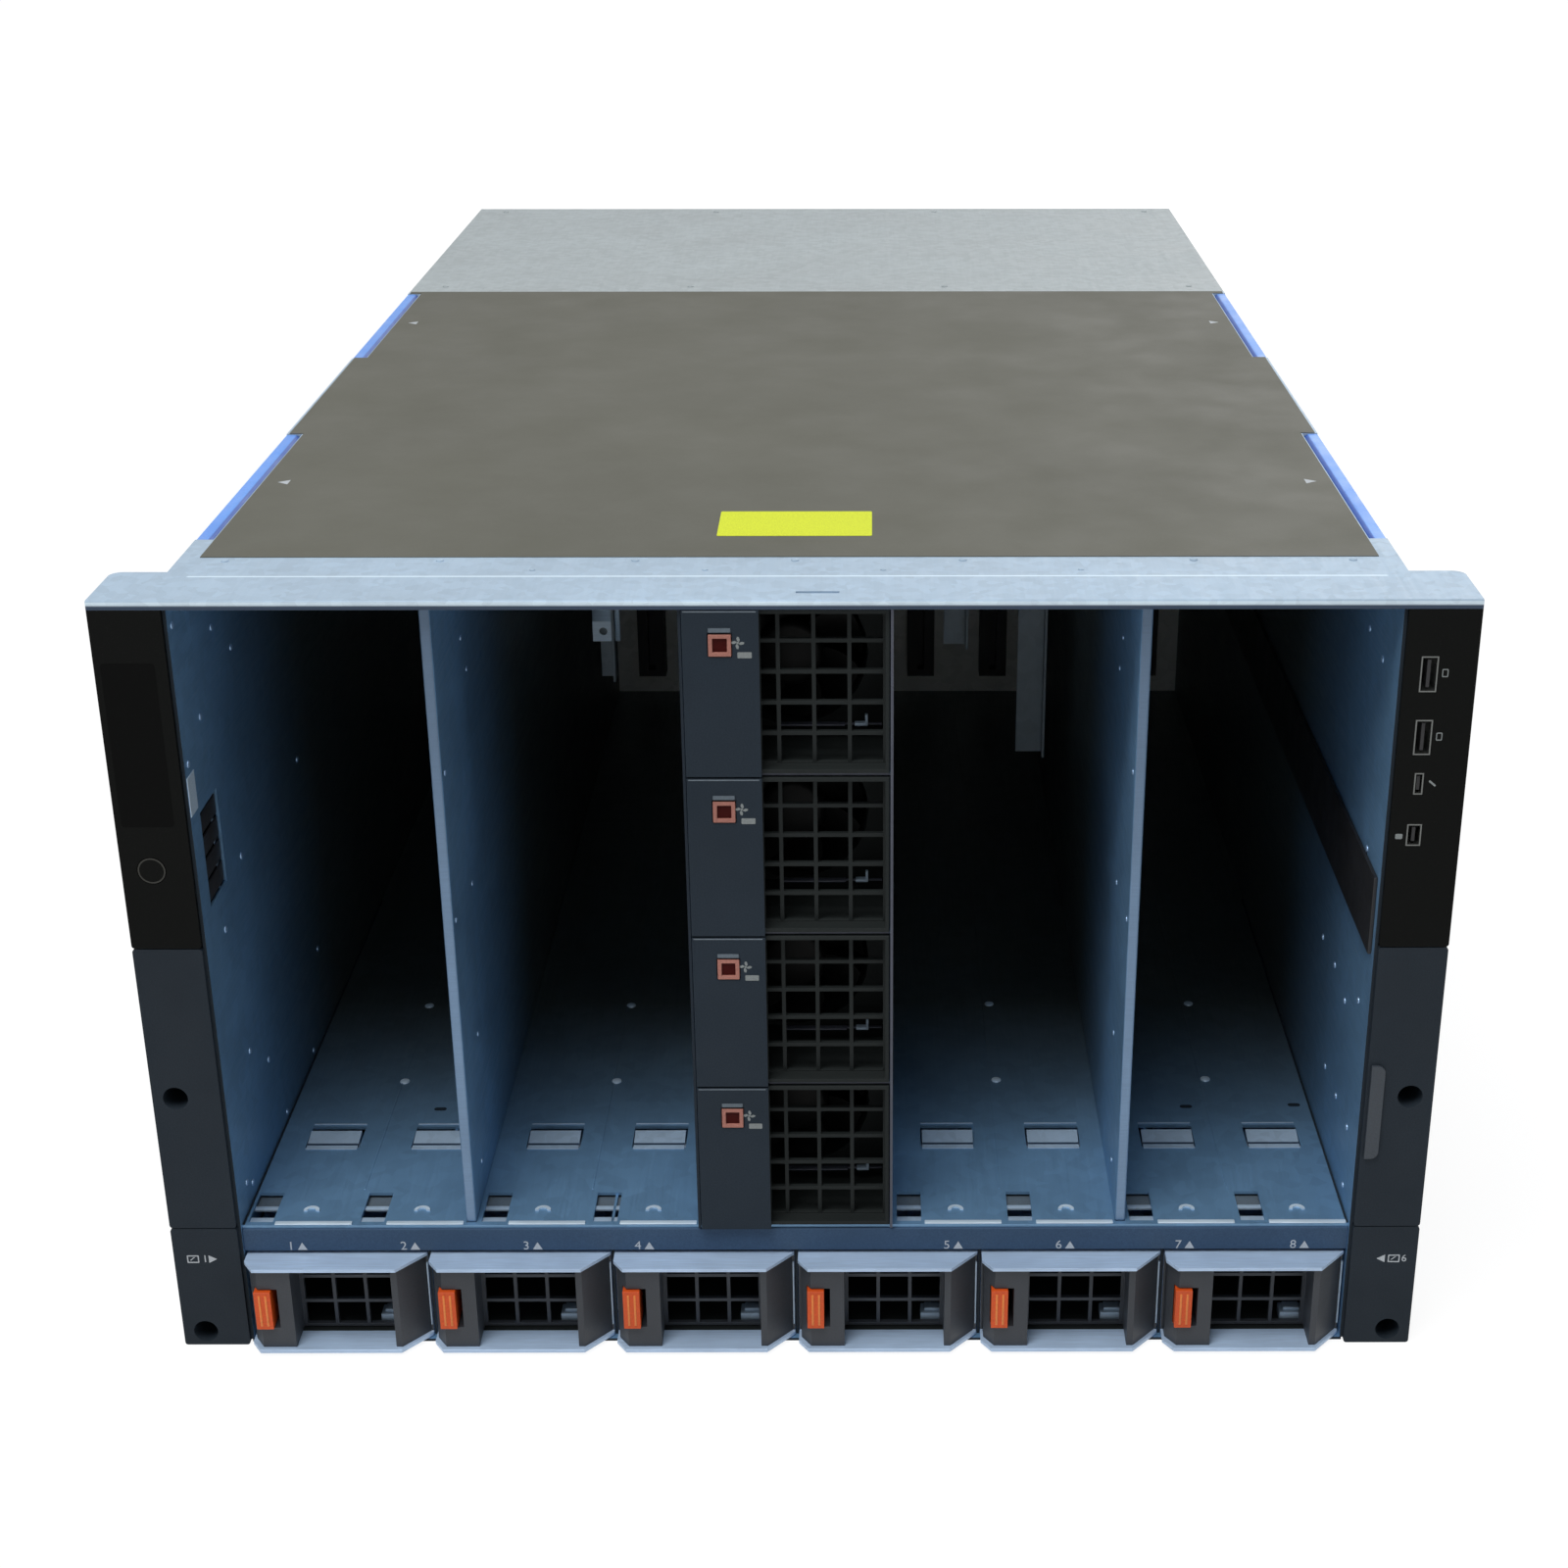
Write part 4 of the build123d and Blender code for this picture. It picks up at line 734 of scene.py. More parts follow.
class CHASSIS_OT_ear_columns(bpy.types.Operator):
    """Finish the control column and the port column on the rack ears"""

    bl_idname = "chassis.ear_columns"
    bl_label = "Ear columns"

    TONGUE = (224.6, 0.8, 1.0)
    RING = (5.0, 4.45)
    WINDOW = (19.0, 62.0, 1.2)
    WINDOW_PLACE = (-229.5, 0, 253.5)
    FRAME_PLACES = ((230.2, 0, 280.5), (230.2, 0, 256.7))
    DASH_PLACE = (229.4, 0, 238.8)
    PLUG_PLACE = (219.2, 0, 218.2)
    # Box, digit and arrow across, the digit, the way of the arrow and the height
    SUPPLY_MARKS = ((-233.9, -229.2, -226.3, "1", 1, 39.8), (232.4, 236.4, 227.4, "6", -1, 39.1))
    STROKE = ((-0.9, -0.7), (0.9, 0.9), (0.4, 0.9), (-1.2, -0.5))
    WELLS = (232.55, 25, (6.35, 111.125))

    def execute(self, context):
        film = sizes().print_film
        edge_round = sizes().edge_round
        dress("control_panel", "gloss_black", edge=edge_round)
        dress("port_panel", "gloss_black", edge=edge_round)
        dress("ear_covers", "matte_black", edge=edge_round)
        dress("power_button", "gloss_black")
        dress("service_tag", "tag_plastic", edge=0.6 * edge_round)
        dress("port_shells", "port_metal", "connector_plastic")
        x, half, depth = self.TONGUE
        pick("port_shells", 1, lambda p: p.y > deep(depth) and abs(p.x / MM - x) < half)
        # Ring on the button
        low, high = reach("power_button")
        middle = (low + high) / 2
        bm = bmesh.new()
        outer, inner = (circle(radius, 48) for radius in self.RING)
        add_band(bm, outer, inner, facing_front(middle.x, low.y, middle.z), film)
        piece("button_ring", bm, "faint_ink", "power_button")
        # Dark window of the control panel
        bm = bmesh.new()
        add_plate(bm, rounded(*self.WINDOW), facing_front(*self.WINDOW_PLACE), film)
        piece("panel_window", bm, "window_black")
        # Marks beside the ports
        bm = bmesh.new()
        for place in self.FRAME_PLACES:
            add_band(bm, rounded(2.2, 3.0, 0.4), rounded(1.5, 2.3, 0.2), facing_front(*place), film)
        slant = facing_front(*self.DASH_PLACE) @ Matrix.Rotation(math.radians(-40), 4, "Z")
        add_plate(bm, rounded(3.2, 0.7, 0.3), slant, film)
        add_plate(bm, rounded(2.6, 2.0, 0.4), facing_front(*self.PLUG_PLACE), film)
        piece("port_marks", bm, "dim_ink")
        # Marks that count the power supplies
        bm = bmesh.new()
        for box_x, digit_x, arrow_x, digit, way, z in self.SUPPLY_MARKS:
            place = facing_front(box_x, 0, z)
            add_band(bm, rounded(4.6, 3.4, 0.3), rounded(3.7, 2.5, 0.15), place, film)
            add_plate(bm, self.STROKE, place, film)
            add_digits(bm, digit, 3.2 * MM, facing_front(digit_x, 0, z), film)
            arrow = ((way * 1.7, 0), (-way * 1.5, 1.7), (-way * 1.5, -1.7))
            add_plate(bm, arrow, facing_front(arrow_x, 0, z), film)
        piece("supply_marks", bm, "print_ink")
        # Captive screws in the wells
        bm = bmesh.new()
        x, depth, levels = self.WELLS
        for side in (-1, 1):
            for z in levels:
                add_screw(bm, at(side * x, depth, z), (0, -1, 0), 1.25)
        piece("rack_screws", bm, "matte_black")
        return {"FINISHED"}


class CHASSIS_OT_sled_bays(bpy.types.Operator):
    """Finish the sled bays: number strip, floor details, wall rivets and connectors"""

    bl_idname = "chassis.sled_bays"
    bl_label = "Sled bays"

    # Depth and height of the rivets on the walls, place across and depth of those on the floor
    LEFT_RIVETS = (
        (79, 263), (7.6, 296), (55.5, 279), (28.6, 254), (7, 244), (61, 184), (28.7, 168), (42, 108.6),
        (67, 91), (162, 183.6), (164, 93), (17, 64), (25, 59), (86, 55.6), (139, 55.8),
    )
    RIGHT_RIVETS = (
        (30, 275), (28.6, 200.7), (45, 128.4), (21, 141), (71.6, 84.5), (46.5, 85), (22, 85), (20, 60),
        (96.6, 131), (69, 132), (56, 278),
    )
    DIVIDER_RIVETS = (
        (12, 238.5), (11.5, 180), (63.5, 272), (71.4, 257), (50.4, 177), (38.8, 117.7), (26.8, 67.6),
    )
    DIVIDER_FACES = ((-128, -1), (-124, 1), (124, -1), (128, 1))
    FLOOR_RIVETS = (
        (-171, 117), (-80, 117), (83, 117.5), (173, 118), (-172, 187), (-80, 187), (83, 188), (174, 188),
    )
    SLITS = ((-152.0, 93.5), (162.0, 94.6), (207.7, 95.8))
    DIGITS = (
        (-196.2, "1"), (-152.4, "2"), (-104.8, "3"), (-61.4, "4"),
        (58.7, "5"), (102.2, "6"), (148.7, "7"), (193.4, "8"),
    )
    DIGIT_LEVEL = 43.6
    ARROW = ((-1.9, -1.6), (1.9, -1.6), (0, 1.7))
    ARROW_STEP = 4.4
    PIN_RISE = 71 * MM
    SLOTS = (-214.5, -171.25, -124.0, -80.75, 37.5, 80.75, 128.0, 171.25)
    SLOT_PITCH = 43.25
    ARC_PLACE = (3.2, 14)
    ARC_RADII = (3.1, 1.7)
    # Blocks in a slot: place across from its edge, depth, and height from the floor or its underside
    HEM = ((12.5, 4.0, 0), (42.4, 6.2, 0.7))
    FOLD = ((12.625, LANCE - 1.6, 0), (33.625, LANCE - 0.1, 0.4))
    # Painted highlight: thin light line on the floor edge behind each tab opening
    TAB_EDGE_HIGHLIGHT = ((12.225, LANCE + 18.4, 0), (34.025, LANCE + 19.2, 0.3))
    SEAM = ((-0.9, 30, 0), (-0.3, 590, 0.2))
    KEY_BARS = (((1.2, 6.0, -0.9), (11.9, 11.6, 0)), ((1.2, 17.4, -1.2), (11.9, 19.8, 0)))
    KEY_PLATE = ((0.6, 20.6, -2.2), (12.5, 34.0, -1.2))
    WALL_GAP = (0.9, 0.1)
    PIN_BLOCK = ((-215.7, 15.5, 185.5), (-215.0, 36.5, 193))
    PIN_PITCH = 9.1
    WALL_PATCH = ((0, 2.6, 225), (0.3, 12, 240))
    # Middle, width and lower end of the brackets, with the depths of their flange and web
    BRACKETS = ((-95.5, 7.4, 171), (69.6, 11.4, 187), (106.0, 13.4, 132))
    FLANGE = (292, 300.4, 1.2)
    WEB = (300, 301.2)
    # Hole of the plate on the left bracket, and its arms up to the cover
    PLATE_HOLE = (-97.5, 299.0, 194.2)
    PLATE_ARMS = (((-92.7, 298.1, 189.3), (-89.5, 299.1)), ((-102.4, 298.15, 199.0), (-92.4, 299.05)))

    def execute(self, context):
        film = sizes().print_film
        dress("slot_number_strip", "strip_plastic", edge=sizes().edge_round)
        dress("cable_raceway", "connector_plastic", edge=sizes().sheet_round)
        dress("slot_connectors", "connector_plastic", "rivet_steel")
        pick("slot_connectors", 1, lambda p: p.z > FLOOR_TOP + self.PIN_RISE)
        dress("power_board", "circuit_board")
        bm = bmesh.new()
        depth = reach("slot_number_strip")[0].y
        for x, digit in self.DIGITS:
            add_digits(bm, digit, sizes().digit, facing_front(x, depth, self.DIGIT_LEVEL), film)
            add_plate(bm, self.ARROW, facing_front(x + self.ARROW_STEP, depth, self.DIGIT_LEVEL), film)
        piece("slot_numbers", bm, "print_ink")
        self.floor_details()
        self.wall_details()
        self.brackets()
        return {"FINISHED"}

    def in_slots(self, level, *pairs, slots=SLOTS):
        """Blocks repeated in the slots, at a level."""
        return [moved(pair, edge, level) for edge in slots for pair in pairs]

    def floor_details(self):
        """Bright hems, embossed arcs, rivets, tab folds with painted highlights behind them, key slot parts,
        seams, and painted shade in the gaps.
        """
        floor = FLOOR_TOP / MM
        under = reach("bay_floor")[0].z
        blocks("floor_hems", self.in_slots(floor, self.HEM), 0.3, "bright_edge")
        bm = bmesh.new()
        outer, inner = self.ARC_RADII
        arc = [polar(outer, turn) for turn in range(0, 181, 15)]
        arc += [polar(inner, turn) for turn in range(180, -1, -15)]
        across, depth = self.ARC_PLACE
        for edge in self.SLOTS:
            middle = edge + self.SLOT_PITCH / 2
            add_plate(bm, arc, Matrix.Translation(at(middle + across, depth, floor)), 0.7 * MM)
        for x, depth in self.FLOOR_RIVETS:
            add_rivet(bm, at(x, depth, floor), (0, 0, 1), share=1.5)
        piece("floor_embosses", bm, "bright_edge")
        # Folds in front of the spring tabs, and the light lips behind them, a painted highlight on the edge
        # of each opening
        bm = bmesh.new()
        for pair, radius in ((self.FOLD, 0.15), (self.TAB_EDGE_HIGHLIGHT, 0.1)):
            for low, high in self.in_slots(floor, pair):
                add_block(bm, at(*low), at(*high), radius * MM)
        piece("tab_folds_and_edge_highlights", bm, "lip_steel")
        blocks("key_bars", self.in_slots(under, *self.KEY_BARS), 0.3, "lip_steel")
        blocks("key_plates", self.in_slots(under, self.KEY_PLATE), 0.3, "worn_and_highlight_plastic")
        seams = self.in_slots(floor, self.SEAM, slots=self.SLOTS[1::2])
        blocks("floor_seams", seams, 0.08, "zinc_sheet", segments=1)
        # Painted shade: black strips in the gap along the walls and black plates in the drain slits behind
        # the tabs
        bm = bmesh.new()
        inner = INNER_HALF / MM
        for side in (-1, 1):
            edges = sorted(side * (inner - gap) for gap in self.WALL_GAP)
            add_block(bm, at(edges[0], 4.5, floor), at(edges[1], 300, floor + 0.35), 0.1 * MM, 1)
        for x, depth in self.SLITS:
            add_plate(bm, rounded(5.2, 2.6, 1.2), Matrix.Translation(at(x, depth, floor)), 0.1 * MM)
        piece("floor_gap_shade", bm, "matte_black")

    def wall_details(self):
        """Rivets on the walls and dividers, and the connector in the left wall."""
        inner = INNER_HALF / MM
        heads = []
        for side, places in ((-1, self.LEFT_RIVETS), (1, self.RIGHT_RIVETS)):
            heads += [((side * inner, depth, z), (-side, 0, 0), 1.0) for depth, z in places]
        for depth, z in self.DIVIDER_RIVETS:
            heads += [((x, depth, z), (way, 0, 0), 0.8) for x, way in self.DIVIDER_FACES]
        rivets("wall_rivets", heads, "rivet_steel")
        pins = [moved(self.PIN_BLOCK, 0, self.PIN_PITCH * level) for level in range(4)]
        blocks("wall_connector", pins, 0.2, "connector_plastic")
        blocks("wall_patch", [moved(self.WALL_PATCH, -inner, 0)], 0.1, "bright_edge", segments=1)

    def brackets(self):
        """Guide brackets that hang from the cover, the left one with a drilled plate."""
        under = reach("front_top_cover")[0].z
        pairs = []
        front, back = self.WEB
        near, far, thick = self.FLANGE
        for x, width, bottom in self.BRACKETS:
            right = x + width / 2
            pairs.append(((x - width / 2, front, bottom), (right, back, under)))
            pairs.append(((right - thick, near, bottom), (right, far, under)))
        blocks("guide_brackets", pairs, 0.3, "cover_steel")
        bm = bmesh.new()
        add_band(bm, rounded(10.0, 10.0, 0.2, 7), circle(1.9, 32), facing_front(*self.PLATE_HOLE), 0.8 * MM)
        for low, high in self.PLATE_ARMS:
            add_block(bm, at(*low), at(*high, under), 0.2 * MM)
        piece("bracket_plate", bm, "bright_edge")


class CHASSIS_OT_front_fans(bpy.types.Operator):
    """Finish the front fan modules, with their rotors, marks and ledges"""

    bl_idname = "chassis.front_fans"
    bl_label = "Front fans"

    PLATE_SIDE = -9.1 * MM
    PLATE_DEPTH = 2.6
    RIB_DEPTH = -0.3
    CORE_DEPTHS = (0.2, 0.4)
    # Fan wheel and bar printed on the plate: place across and distance below its top
    WHEEL_PLACE = (-16.7, 11.8)
    BAR_PLACE = (-14.4, 16.3)
    PETAL = ((0.4, -0.5), (1.3, -0.9), (2.5, -0.5), (2.7, 0.2), (1.8, 0.5), (0.9, 0.2))
    PETAL_SHARE = 0.85
    PETALS = 4
    # Blocks above the bottom of the module, and below its top a lighter rim that is a painted highlight
    LEDGE = (((-4, 31, 7.5), (20, 34, 8.2)), ((20, 32.4, 7.5), (33.6, 34, 8.0)))
    CLIP = (((23.6, 31, 7.5), (28.4, 34, 8.6)), ((27.4, 31, 8.2), (28.4, 33, 12.0)))
    RIM_HIGHLIGHT = ((-35.6, -0.12, -0.75), (-10.2, 0.4, -0.3))

    def execute(self, context):
        edge_round = sizes().edge_round
        for number in range(1, FAN_COUNT + 1):
            name = f"front_fan_{number}"
            node = f"{name}_module"
            dress(node, "grille_plastic", "fan_plastic", "worn_and_highlight_plastic", edge=0.6 * edge_round)
            pick(node, 1, lambda p: p.y < deep(self.PLATE_DEPTH) and p.x < self.PLATE_SIDE)
            pick(node, 2, lambda p: p.y < deep(self.RIB_DEPTH))
            low, high = reach(node)
            self.marks(name, high.z)
            ledge = [moved(pair, 0, low.z) for pair in self.LEDGE]
            blocks(f"{name}_ledge", ledge, 0.2, "cage_edge", name)
            clip = [moved(pair, 0, low.z) for pair in self.CLIP]
            blocks(f"{name}_clip", clip, 0.3, "lip_steel", name)
            # Painted highlight along the top edge of the plate
            rim_highlight = moved(self.RIM_HIGHLIGHT, 0, high.z)
            blocks(f"{name}_rim", [rim_highlight], 0.1, "worn_and_highlight_plastic", name, 1)
            button = f"{name}_button"
            dress(button, "release_frame", "release_core", edge=0.5 * edge_round)
            near, far = self.CORE_DEPTHS
            pick(button, 1, lambda p: deep(near) < p.y < deep(far))
            make_rotor(f"{name}_rotor", hub=12.5, shaft=2.0, pitch=40)
        return {"FINISHED"}

    def marks(self, name, top):
        """Printed fan wheel and bar of a module."""
        film = sizes().print_film
        bm = bmesh.new()
        x, drop = self.WHEEL_PLACE
        place = facing_front(x, 0, top - drop)
        outline = [(self.PETAL_SHARE * x, self.PETAL_SHARE * y) for x, y in self.PETAL]
        for turn in range(self.PETALS):
            add_plate(bm, outline, place @ Matrix.Rotation(2 * math.pi * turn / self.PETALS, 4, "Z"), film)
        add_plate(bm, circle(0.45, 12), place, film)
        x, drop = self.BAR_PLACE
        add_plate(bm, rounded(5.0, 2.2, 0.3), facing_front(x, 0, top - drop), film)
        piece(f"{name}_marks", bm, "dim_ink", name)


def make_rotor(node, hub, shaft, pitch):
    """Rotor with swept, cambered blades, in place of its CAD node; radii in millimetres, pitch in degrees."""
    hub, shaft, long = hub * MM, shaft * MM, 20 * MM
    blades = 7
    stations = 6
    chord_points = 7
    low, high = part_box(node)
    middle = (low + high) / 2
    tip = (high.z - low.z) / 2 * 0.985
    place = standing((middle.x, low.y, middle.z), (0, 1, 0))
    bm = bmesh.new()
    profile = (
        (0, 0, 0), (hub * 0.82, 0, 0), (hub * 0.94, hub * 0.05, 0), (hub, hub * 0.16, 0), (hub, long, 0),
        (shaft, long, 0), (shaft, high.y - low.y, 0), (0, high.y - low.y, 0),
    )
    add_turned(bm, profile, place, sides=40)
    for blade in range(blades):
        loops = []
        for station in range(stations + 1):
            share = station / stations
            radius = hub * 0.96 + (tip - hub * 0.96) * share
            chord = long * (0.92 + 0.25 * share)
            lean = math.radians(pitch) - math.radians(16) * share
            sweep = 2 * math.pi * blade / blades + math.radians(14) * share**2
            loop = []
            for face in (1, -1):
                steps = range(chord_points + 1) if face > 0 else range(chord_points - 1, 0, -1)
                for step in steps:
                    along = step / chord_points
                    arch = 0.1 * chord * 4 * along * (1 - along)
                    thick = face * 0.5 * MM * math.sin(math.pi * min(1.0, 0.15 + along * 0.85)) + arch
                    run = (along - 0.5) * chord
                    axial = run * math.sin(lean) - thick * math.cos(lean)
                    around = run * math.cos(lean) + thick * math.sin(lean)
                    angle = sweep + around / radius
                    point = Vector((radius * math.cos(angle), radius * math.sin(angle), long / 2 + axial))
                    loop.append(bm.verts.new(place @ point))
            loops.append(loop)
        for first, second in zip(loops, loops[1:]):
            add_skin(bm, first, second)
        bm.faces.new(loops[0][::-1])
        bm.faces.new(loops[-1])
    rotor = piece(f"{node}_blades", bm, "rotor_plastic", node, 40.0)
    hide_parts(node)


class CHASSIS_OT_power_supplies(bpy.types.Operator):
    """Finish the power supplies and their latches"""

    bl_idname = "chassis.power_supplies"
    bl_label = "Power supplies"

    SKIN = 1.0
    PLATE = 1.5
    SLANT = -0.5
    FACE = -6.0
    BACK = 10.0
    INSIDE = 5.0
    RIB_PLACES = (-1.6, 0.9)
    RIVET_INSET = 7
    RIVET_DEPTHS = (24, 112, 200, 288, 376)
    LABEL = (46, 62, 2)
    LABEL_DEPTH = 156
    # Socket behind the grille, from the left and lower side of the case
    SOCKET = (((48, 11, 1.1), (57.5, 18, 5.2)), ((49.5, 12.5, 5), (56, 17, 6.5)))

    def execute(self, context):
        for number in range(1, PSU_COUNT + 1):
            node = f"psu_{number}"
            self.case_finishes(node)
            self.latch(f"{node}_latch")
            self.case_details(node)
        return {"FINISHED"}

    def case_finishes(self, node):
        """Silver case, plastic bezel and dark inside of a supply."""
        low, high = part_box(node)
        skin, plate = self.SKIN * MM - NEAR, self.PLATE * MM - NEAR

        def within(p, inset):
            return low.x + skin <= p.x <= high.x - skin and low.z + inset <= p.z <= high.z - inset

        edge = 0.6 * sizes().edge_round
        dress(node, "supply_silver", "bezel_plastic", "grille_plastic", edge=edge)
        pick(node, 2, lambda p: within(p, skin) and p.y >= deep(self.INSIDE) - NEAR)
        pick(node, 1, lambda p: within(p, plate) and deep(self.FACE) - NEAR <= p.y <= deep(self.BACK) + NEAR)
        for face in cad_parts[node].data.polygons:
            between = low.z + self.PLATE * MM < face.center.z < high.z - self.PLATE * MM
            if face.normal.y < self.SLANT and between:
                face.material_index = 1

    def latch(self, node):
        """Orange latch with two ribs in a lighter orange, a painted highlight."""
        dress(node, "latch_orange", edge=0.8 * sizes().edge_round)
        low, high = reach(node)
        middle = (low + high) / 2
        ribs = []
        for side in self.RIB_PLACES:
            x = middle.x + side
            ribs.append(((x, low.y - 0.3, middle.z - 7), (x + 0.9, low.y + 0.4, middle.z + 7)))
        blocks(f"{node}_ribs", ribs, 0.25, "latch_rib_highlight", node)

    def case_details(self, node):
        """Sheared edge, socket, rivets and bare label of a case."""
        low, high = reach(node)
        edge = ((high.x - 0.7, 3.8, low.z + 5), (high.x - 0.1, 5.2, high.z - 5))
        blocks(f"{node}_edge", [edge], 0.15, "lip_steel", node)
        socket = [moved(pair, low.x, low.z) for pair in self.SOCKET]
        blocks(f"{node}_socket", socket, 0.4, "lip_steel", node)
        places = (low.x + self.RIVET_INSET, high.x - self.RIVET_INSET)
        heads = [((x, depth, high.z), (0, 0, 1), 1.2) for x in places for depth in self.RIVET_DEPTHS]
        rivets(f"{node}_rivets", heads, "supply_silver", node)
        bm = bmesh.new()
        place = Matrix.Translation(at((low.x + high.x) / 2, self.LABEL_DEPTH, high.z))
        add_plate(bm, rounded(*self.LABEL), place, sizes().print_film)
        piece(f"{node}_label", bm, "dim_ink", node)


class CHASSIS_OT_lift_handles(bpy.types.Operator):
    """Finish the four lift handles"""

    bl_idname = "chassis.lift_handles"
    bl_label = "Lift handles"

    def execute(self, context):
        for end in ("front", "rear"):
            for side in ("left", "right"):
                dress(f"lift_handle_{end}_{side}", "handle_blue", edge=sizes().edge_round)
        return {"FINISHED"}


class CHASSIS_OT_rear_side(bpy.types.Operator):
    """Finish the rear: frame, blanks, fans, modules and power inlets"""

    bl_idname = "chassis.rear_side"
    bl_label = "Rear side"

    FRAME_SIDE = 216
    FRAME_ROWS = (12, 70, 150, 225, 300)
    BLANK_SIDE = 203
    BLANK_ROWS = (284.5, 247.5, 126.5, 89.5)
    FAN_ROW = 187.0
    FAN_PITCH = 85.6
    FAN_CORNER = 36.5
    INLET_ROW = 25.0 * MM
    INLET_PITCH = 71.5 * MM
    INLET_DEPTH = 24 * MM
    PIN_STEPS = (-7.5 * MM, 0, 7.5 * MM)
    PIN_HALF = (1.1 * MM, 3.4 * MM)

    def execute(self, context):
        dress("rear_frame", "rear_steel")
        dress("rear_blanks", "rear_steel", edge=sizes().sheet_round)
        dress("rear_fan_cases", "fan_plastic", edge=sizes().sheet_round)
        dress("power_inlets", "connector_plastic", "rivet_steel")
        back = REAR_Y - self.INLET_DEPTH - NEAR
        wide, tall = self.PIN_HALF
        for index in range(PSU_COUNT):
            for step in self.PIN_STEPS:
                x = (index + 0.5) * self.INLET_PITCH - INNER_HALF + step
                pick("power_inlets", 1, lambda p: abs(p.x - x) < wide and abs(p.z - self.INLET_ROW) < tall
                     and p.y > back)
        for number in range(1, REAR_FAN_COUNT + 1):
            make_rotor(f"rear_fan_{number}_rotor", hub=16, shaft=2.5, pitch=38)
        self.fasteners()
        return {"FINISHED"}

    def fasteners(self):
        """Screws of the rear face."""
        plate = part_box("rear_fan_cases")[1].y
        heads = []
        for side in (-1, 1):
            heads += [(side * self.FRAME_SIDE, REAR_Y, row, 1.0) for row in self.FRAME_ROWS]
            heads += [(side * self.BLANK_SIDE, plate, row, 1.3) for row in self.BLANK_ROWS]
            for index in range(REAR_FAN_COUNT):
                x = (index - (REAR_FAN_COUNT - 1) / 2) * self.FAN_PITCH + side * self.FAN_CORNER
                heads += [(x, plate, self.FAN_ROW + end * self.FAN_CORNER, 0.9) for end in (-1, 1)]
        bm = bmesh.new()
        for x, y, z, share in heads:
            add_screw(bm, Vector((x * MM, y, z * MM)), (0, 1, 0), share)
        piece("rear_screws", bm, "rivet_steel")


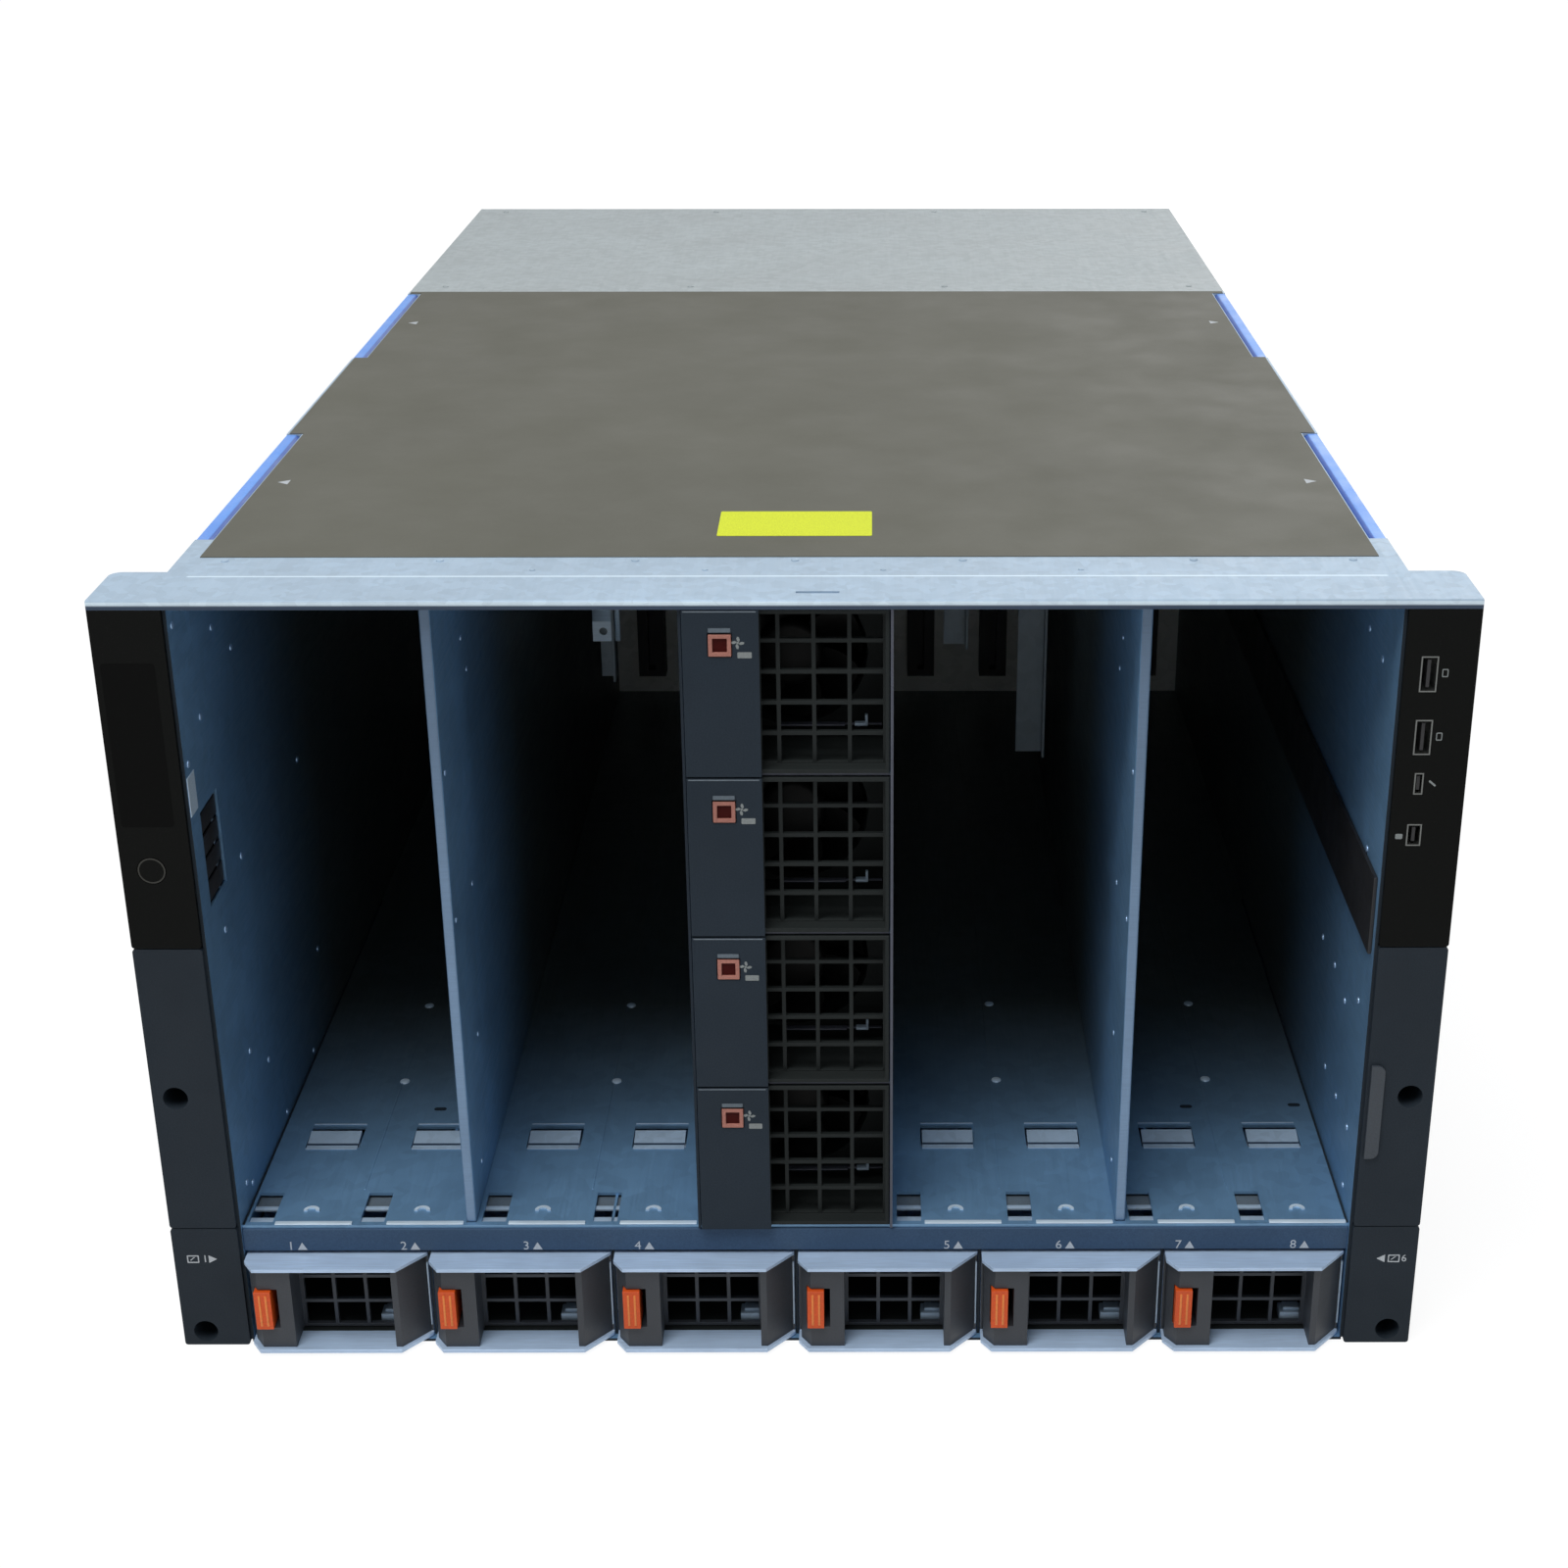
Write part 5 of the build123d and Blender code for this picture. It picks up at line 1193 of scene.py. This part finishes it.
class CHASSIS_OT_stage(bpy.types.Operator):
    """Set the floor, the lights and the camera"""

    bl_idname = "chassis.stage"
    bl_label = "Stage"

    EYE = (0.0301, -1.2151, 0.5730)
    PITCH = -23.71
    YAW = 0.18
    ROLL = -0.01
    LENS = 56.46
    SHIFT = (-0.0611, 0.0348)
    # Name, place, target, size and power
    LAMPS = (
        ("key", (-0.45, -1.3, 2.45), (0.0, -0.25, 0.15), 1.2, 42.0),
        ("overhead", (-0.2, 0.3, 2.4), (0.0, 0.0, 0.3), 1.8, 4.0),
        ("rear", (0.9, 2.2, 1.5), (0.0, 0.3, 0.15), 1.4, 12.0),
    )
    SOFT_LIGHT = (0.94, 0.97, 1.0, 1.0)
    SOFT_STRENGTH = 0.2
    FLOOR_RADIUS = 14000.0
    FLOOR_UNDER = -4.2 * MM
    FLOOR_THICKNESS = 4.0 * MM
    PAPER = (0.9, 0.9, 0.9, 1.0)
    SHADOW_SHARE = 0.2
    # Strengths near and far, and the distances between which they change
    GLOW = (1.12, 1.22, 0.9, 2.6)

    def execute(self, context):
        scene = context.scene
        scene.view_settings.view_transform = "Standard"
        self.world(scene)
        self.floor()
        for lamp in self.LAMPS:
            self.lamp(*lamp)
        self.camera(scene)
        return {"FINISHED"}

    def seen(self, tree):
        """Share of the rays that show the background: camera, glossy and transmission rays."""
        path = tree.nodes.new("ShaderNodeLightPath")
        direct = joined(tree, path.outputs["Is Camera Ray"], path.outputs["Is Glossy Ray"])
        both = joined(tree, direct, path.outputs["Is Transmission Ray"])
        return spread(tree, both, 0.0, 1.0, 0.0, 1.0)

    def mixed(self, tree, share, first, second):
        """Mix node between two shaders."""
        return add_node(tree, "MixShader", {0: share, 1: first.outputs[0], 2: second.outputs[0]})

    def world(self, scene):
        """Soft even light, with white behind the object."""
        scene.world = bpy.data.worlds.new("studio")
        scene.world.use_nodes = True
        tree = scene.world.node_tree
        soft = tree.nodes["Background"]
        feed(tree, soft, {"Color": self.SOFT_LIGHT, "Strength": self.SOFT_STRENGTH})
        white = add_node(tree, "Background", {"Color": (1.0, 1.0, 1.0, 1.0)})
        choice = self.mixed(tree, self.seen(tree), soft, white)
        tree.links.new(choice.outputs[0], tree.nodes["World Output"].inputs["Surface"])

    def floor(self):
        """White paper that keeps a soft shadow."""
        bm = bmesh.new()
        place = Matrix.Translation((0, 0, self.FLOOR_UNDER))
        add_plate(bm, circle(self.FLOOR_RADIUS, 96), place, self.FLOOR_THICKNESS)
        mesh = bpy.data.meshes.new("studio_floor")
        bm.to_mesh(mesh)
        bm.free()
        floor = bpy.data.objects.new("studio_floor", mesh)
        bpy.context.scene.collection.objects.link(floor)
        tree, shader = blank("studio_paper")
        feed(tree, shader, {"Base Color": self.PAPER, "Roughness": 0.9, "Specular IOR Level": 0.1})
        # A little stronger far away, where the lamps no longer reach
        away = add_node(tree, "VectorMath", {0: coordinates(tree)}, operation="LENGTH").outputs["Value"]
        glow = add_node(tree, "Emission", {"Strength": spread(tree, away, *self.GLOW)})
        shown = self.mixed(tree, self.SHADOW_SHARE, glow, shader)
        choice = self.mixed(tree, self.seen(tree), shader, shown)
        tree.links.new(choice.outputs[0], tree.nodes["Material Output"].inputs["Surface"])
        mesh.materials.append(look("studio_paper"))

    def lamp(self, name, place, target, size, power):
        """Soft box aimed at a point."""
        data = bpy.data.lights.new(name, "AREA")
        data.shape = "SQUARE"
        data.size = size
        data.energy = power
        lamp = bpy.data.objects.new(name, data)
        lamp.location = place
        lamp.rotation_euler = (Vector(target) - Vector(place)).to_track_quat("-Z", "Y").to_euler()
        bpy.context.scene.collection.objects.link(lamp)

    def camera(self, scene):
        """Camera at the viewing angle of the picture."""
        turn = Matrix.Identity(4)
        for angle, axis in ((-self.YAW, "Z"), (90 + self.PITCH, "X"), (self.ROLL, "Z")):
            turn = turn @ Matrix.Rotation(math.radians(angle), 4, axis)
        data = bpy.data.cameras.new("picture_camera")
        data.lens = self.LENS
        data.sensor_width = 36.0
        data.shift_x, data.shift_y = self.SHIFT
        camera = bpy.data.objects.new("picture_camera", data)
        camera.matrix_world = Matrix.Translation(self.EYE) @ turn
        scene.collection.objects.link(camera)
        scene.camera = camera


STEPS = (
    CHASSIS_OT_finishes,
    CHASSIS_OT_sheet_metal,
    CHASSIS_OT_top_film,
    CHASSIS_OT_ear_columns,
    CHASSIS_OT_sled_bays,
    CHASSIS_OT_front_fans,
    CHASSIS_OT_power_supplies,
    CHASSIS_OT_lift_handles,
    CHASSIS_OT_rear_side,
    CHASSIS_OT_stage,
)


class CHASSIS_PT_pieces(bpy.types.Panel):
    """Pieces of the chassis, with their sizes and colours"""

    bl_idname = "CHASSIS_PT_pieces"
    bl_label = "Blade server chassis"
    bl_space_type = "VIEW_3D"
    bl_region_type = "UI"
    bl_category = "Chassis"

    def draw(self, context):
        for step in STEPS:
            self.layout.operator(step.bl_idname)
        for group in (context.scene.chassis_sizes, context.scene.chassis_colours):
            box = self.layout.box()
            for name in group.__annotations__:
                box.prop(group, name)


CLASSES = (ChassisColours, ChassisSizes, *STEPS, CHASSIS_PT_pieces)


def register():
    """Make the classes known and hang the settings on the scene."""
    for kind in CLASSES:
        bpy.utils.register_class(kind)
    bpy.types.Scene.chassis_colours = PointerProperty(type=ChassisColours)
    bpy.types.Scene.chassis_sizes = PointerProperty(type=ChassisSizes)


def unregister():
    """Take the settings and the classes away."""
    del bpy.types.Scene.chassis_colours
    del bpy.types.Scene.chassis_sizes
    for kind in reversed(CLASSES):
        bpy.utils.unregister_class(kind)


def main():
    """Build every piece in order."""
    register()
    bpy.ops.chassis.finishes()
    bpy.ops.chassis.sheet_metal()
    bpy.ops.chassis.top_film()
    bpy.ops.chassis.ear_columns()
    bpy.ops.chassis.sled_bays()
    bpy.ops.chassis.front_fans()
    bpy.ops.chassis.power_supplies()
    bpy.ops.chassis.lift_handles()
    bpy.ops.chassis.rear_side()
    bpy.ops.chassis.stage()
    bpy.context.view_layer.update()


if __name__ == "__main__":
    main()
